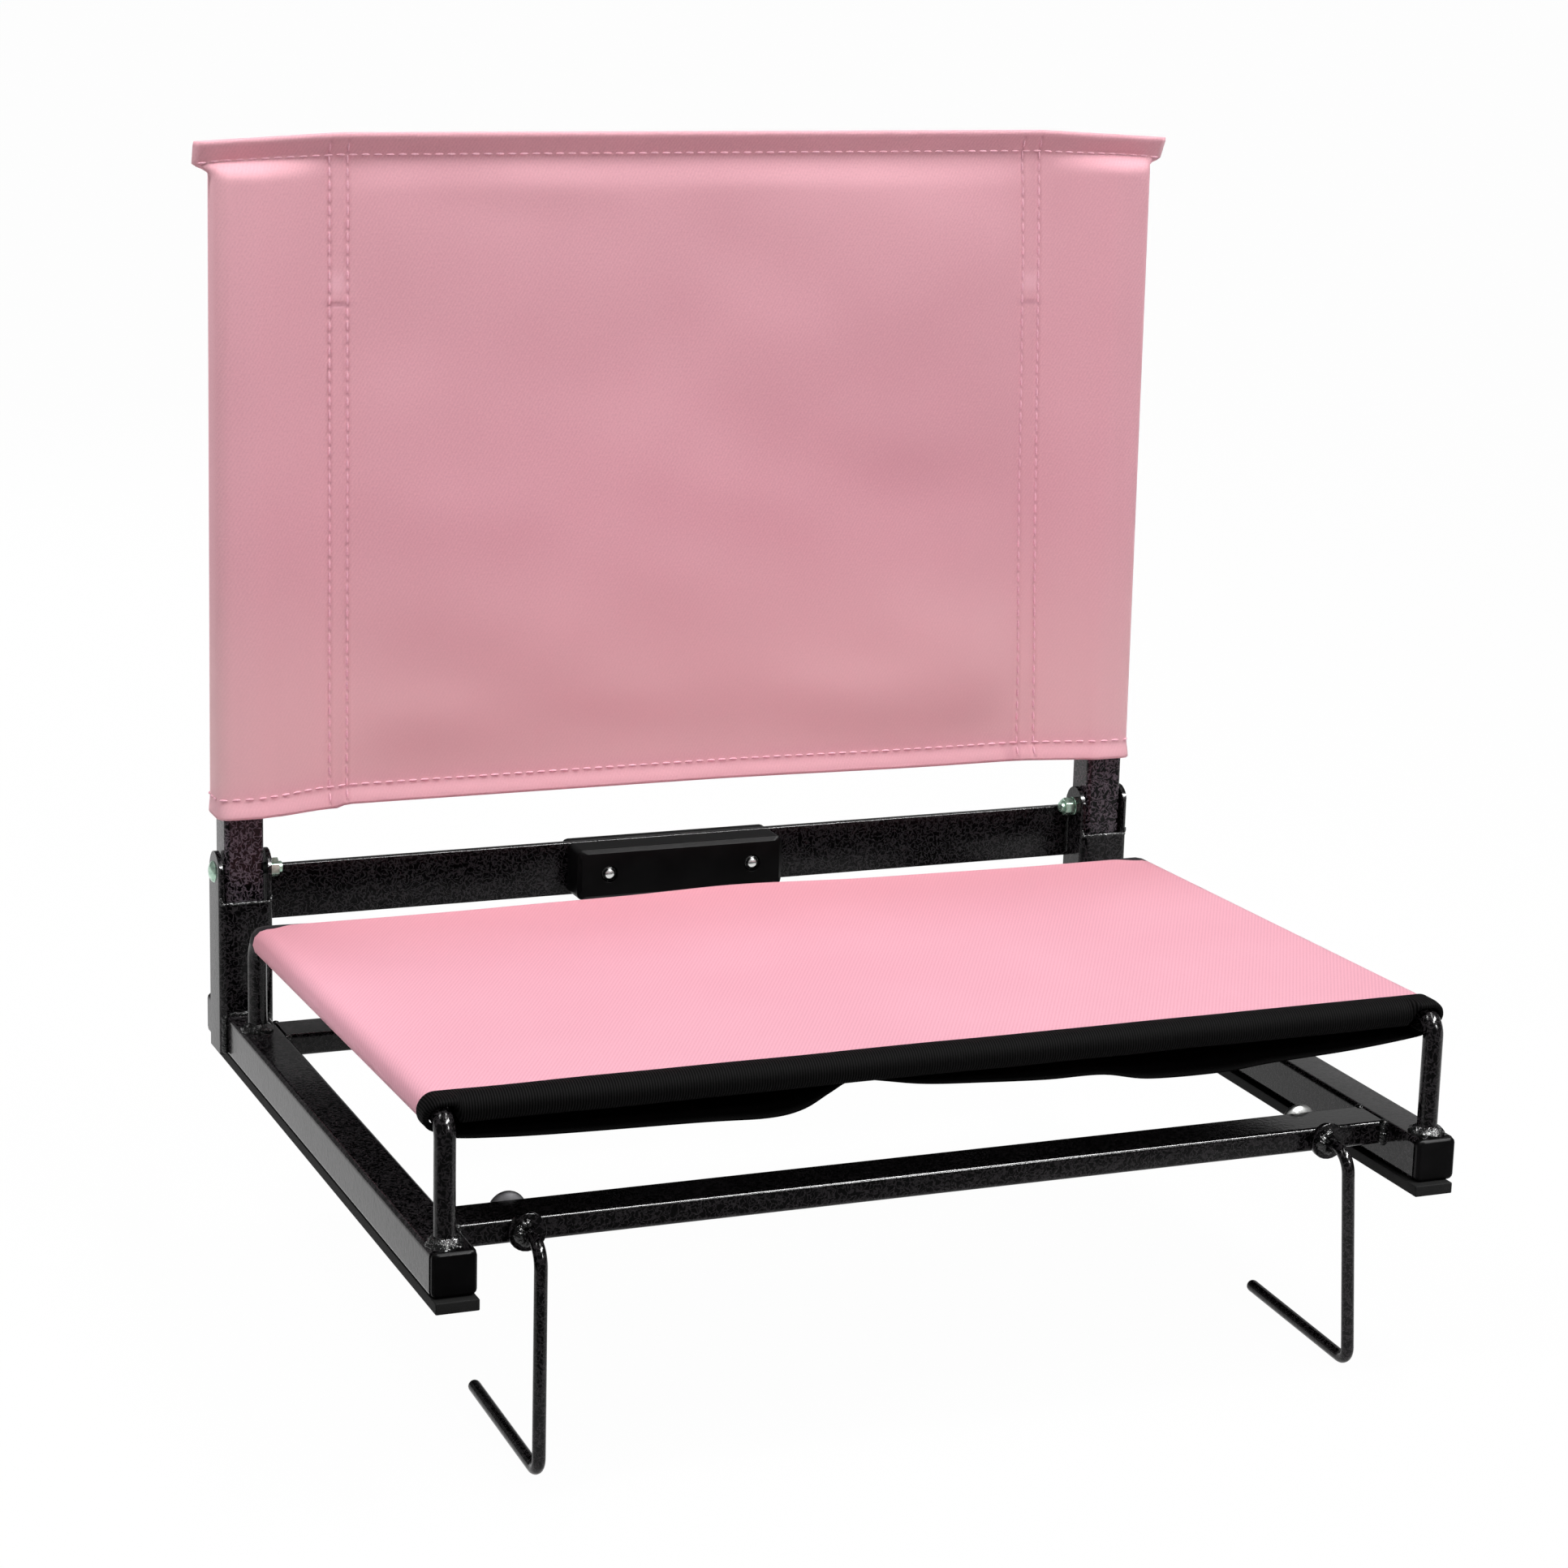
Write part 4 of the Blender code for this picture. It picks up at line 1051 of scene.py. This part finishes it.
stitches = bmesh.new()
for foot, head in row_ends:
    sew_row(stitches, (foot, row_foot), (head, row_head))
    away = math.copysign(half_round, foot)
    sew_row(stitches, (away - foot, row_foot), (away - head, row_head))
hem_row = cover_rise - 0.0096
bottom_row = 0.0095
front_end = hem_outer - 0.001
rear_end = half_round - hem_outer + 0.003
sew_row(stitches, (-front_end, hem_row), (front_end, hem_row))
sew_row(stitches, (rear_end, hem_row), (half_round, hem_row))
sew_row(stitches, (-half_round, hem_row), (-rear_end, hem_row))
sew_row(stitches, (-half_round, bottom_row), (half_round, bottom_row))
cover_stitches = fit("back_cover_stitches", stitches, pink_thread, "pink_cloth", "back")


# Bench hooks: thin rod bent to reach under the bench plank, free to swing in the front crossbar.
# A round collar is welded on in front of the bar, and a pressed dome cap is pushed on behind.
def pressed_zinc(name, dark, light, smoothest, roughening):
    """Plated sheet with a random tarnish between the two colours given, which set its painted light and
    shade.
    """
    made, pressing, spot = new_finish(name, Metallic=1.0)
    tarnish = spot.speckle(300.0, detail=3.0)
    tarnish.between(0.3, 0.75).mix(dark, light).feed(pressing["Base Color"])
    (smoothest + roughening * tarnish).feed(pressing["Roughness"])
    return made


# The two caps are one plated part: the left is painted dull as painted shade, the right painted bright as
# painted light.
cap_zinc_painted_light_and_shade = {
    "left": pressed_zinc(
        "zinc_with_painted_shade", (0.150, 0.148, 0.155, 1.0), (0.215, 0.212, 0.220, 1.0), 0.52, 0.14
    ),
    "right": pressed_zinc(
        "zinc_with_painted_light", (0.50, 0.50, 0.49, 1.0), (0.80, 0.81, 0.79, 1.0), 0.26, 0.16
    ),
}
hook_rod_size = 0.006
hook_front = -0.1835
hook_tip = -0.0915
hook_tip_rise = 0.0040
hook_drop = 0.104
hook_bends = (0.010, 0.007)
hook_hang = {"left": 0.0, "right": math.radians(-3.6)}
cap_cover = 0.0015
collar_ease = 0.0005
blob_ring = 0.0044
blob_size = 0.0027
blob_taper = 0.0008
for side in sides:
    body = f"{side}_hook"
    collar = f"{side}_hook_collar"
    collar_low, collar_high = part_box(collar)
    cap_low, cap_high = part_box(f"{side}_hook_cap")
    axis = (collar_low + collar_high) / 2
    corners = [
        (axis.x, cap_high.y - cap_cover, axis.z),
        (axis.x, hook_front, axis.z),
        (axis.x, hook_front, axis.z - hook_drop),
        (axis.x, hook_tip, axis.z - hook_drop + hook_tip_rise),
    ]
    rod = bent_rod(hook_rod_size, corners, hook_bends, rounded_tip=True)
    hang = Matrix.Rotation(hook_hang[side], 3, "Y")
    bmesh.ops.rotate(rod, cent=axis, matrix=hang, verts=rod.verts)
    fit(f"{side}_hook_rod_bent", rod, powder_coat, "powder_coat", body, f"{side}_hook_rod")
    fit(f"{collar}_plate", eased(collar, collar_ease), powder_coat, "powder_coat", body, collar)
    cap = bmesh.new()
    bmesh.ops.create_uvsphere(cap, u_segments=32, v_segments=16, radius=1.0)
    cap_size = cap_high - cap_low
    dome = (0.445 * cap_size.x, 0.5 * cap_size.y, 0.445 * cap_size.z)
    bmesh.ops.scale(cap, vec=dome, verts=cap.verts)
    move(cap, (cap_low + cap_high) / 2)
    fit(f"{side}_hook_cap_pressed", cap, cap_zinc_painted_light_and_shade[side], "zinc", body, f"{side}_hook_cap")
    blob = bmesh.new()
    for step in range(9):
        turn = math.radians(100 + 20 * step)
        lump = Vector((math.cos(turn), -0.10, math.sin(turn))) * blob_ring
        size = blob_size - blob_taper * abs(step - 4) / 4
        puddle(blob, Vector((axis.x, collar_low.y, axis.z)) + lump, size, step)
    fit(f"{side}_hook_weld", blob, weld_coat, "powder_coat", body)


# Studio: plain pale floor under the hooks, soft light from above, white all round.
# The camera stands where the photograph's camera stood, a little left of the seat and above it.
paper_half = 30.0
paper_front = 0.332
paper_turn = Matrix.Rotation(-0.328, 3, "Z")
paper_below = 0.0004
paper = bmesh.new()
bmesh.ops.create_grid(paper, x_segments=1, y_segments=1, size=paper_half)
move(paper, (0, paper_half - paper_front, cad_box[0].z - paper_below))
bmesh.ops.rotate(paper, cent=(0, 0, 0), matrix=paper_turn, verts=paper.verts)
studio_floor = put_in_scene("studio_floor", as_mesh("studio_floor", paper))


def seen_ray(spot):
    """1 for rays that show the background: straight from the camera, in gloss, or through glass."""
    seen = 0.0
    for ray in ("Is Camera Ray", "Is Glossy Ray", "Is Transmission Ray"):
        shown = spot.node("ShaderNodeLightPath", {}, {}, ray)
        seen = shown.math("MAXIMUM", shown, seen)
    return seen


full_white = (1.0, 1.0, 1.0, 1.0)
pale_floor = bpy.data.materials.new("pale_floor")
pale_floor.use_nodes = True
tree = pale_floor.node_tree
tree.nodes.clear()
start = Wire(tree, None)
matte = start.node("ShaderNodeBsdfDiffuse", {}, {"Color": (0.90, 0.90, 0.90, 1.0)})
white = start.node("ShaderNodeEmission", {}, {"Color": full_white, "Strength": 1.0})
shown = start.node("ShaderNodeMixShader", {}, {0: seen_ray(start) * 0.98, 1: matte, 2: white})
ground = tree.nodes.new("ShaderNodeOutputMaterial")
shown.feed(ground.inputs["Surface"])
studio_floor.data.materials.append(pale_floor)

world = bpy.data.worlds.new("studio")
bpy.context.scene.world = world
world.use_nodes = True
tree = world.node_tree
tree.nodes.clear()
start = Wire(tree, None)
from_camera = start.node("ShaderNodeLightPath", {}, {}, "Is Camera Ray")
brightness = 0.20 + 0.80 * from_camera
room = start.node("ShaderNodeBackground", {}, {"Color": full_white, "Strength": brightness})
output = tree.nodes.new("ShaderNodeOutputWorld")
room.feed(output.inputs["Surface"])

softboxes = (
    ("softbox_over", (0.50, -0.20, 1.50), 1.10, 0.10, 15.2),
    ("softbox_left", (-0.80, -0.15, 1.35), 0.16, 0.50, 10.0),
    ("softbox_front", (0.90, -1.90, 1.20), 0.60, 0.40, 9.0),
    ("softbox_rear", (1.50, 2.20, 0.90), 0.80, 0.80, 0.7),
    ("softbox_behind", (-0.40, 2.30, 1.20), 0.90, 0.90, 21.0),
    ("gloss_strip_over", (0.62, -0.86, 1.38), 1.20, 0.16, 110.0),
    ("gloss_square_front", (0.90, -1.85, 1.25), 0.22, 0.22, 24.0),
)
lit_spot = Vector((0, 0.05, 0.1))
for name, place, width, length, power in softboxes:
    lamp = bpy.data.lights.new(name, "AREA")
    lamp.shape = "RECTANGLE"
    lamp.size = width
    lamp.size_y = length
    lamp.energy = power
    softbox = put_in_scene(name, lamp)
    softbox.location = place
    softbox.rotation_euler = (lit_spot - Vector(place)).to_track_quat("-Z", "Y").to_euler()
    softbox.visible_diffuse = not name.startswith("gloss")
    softbox.visible_glossy = name != "softbox_behind"

yaw, pitch, roll = -0.388, 0.239, -0.026
forward = Vector((-math.sin(yaw) * math.cos(pitch), math.cos(yaw) * math.cos(pitch), -math.sin(pitch)))
level = Vector((math.cos(yaw), math.sin(yaw), 0))
down = forward.cross(level)
right = math.cos(roll) * level + math.sin(roll) * down
below = -math.sin(roll) * level + math.cos(roll) * down
lens = bpy.data.cameras.new("camera")
lens.sensor_width = 36.0
lens.lens = 88.42
lens.clip_start = 0.05
lens.clip_end = 100.0
camera = put_in_scene("camera", lens)
camera_stand = Matrix.Translation((-0.69006, -1.65053, 0.60151))
camera.matrix_world = camera_stand @ Matrix((right, -below, -forward)).transposed().to_4x4()
bpy.context.scene.camera = camera
bpy.context.scene.view_settings.view_transform = "Standard"
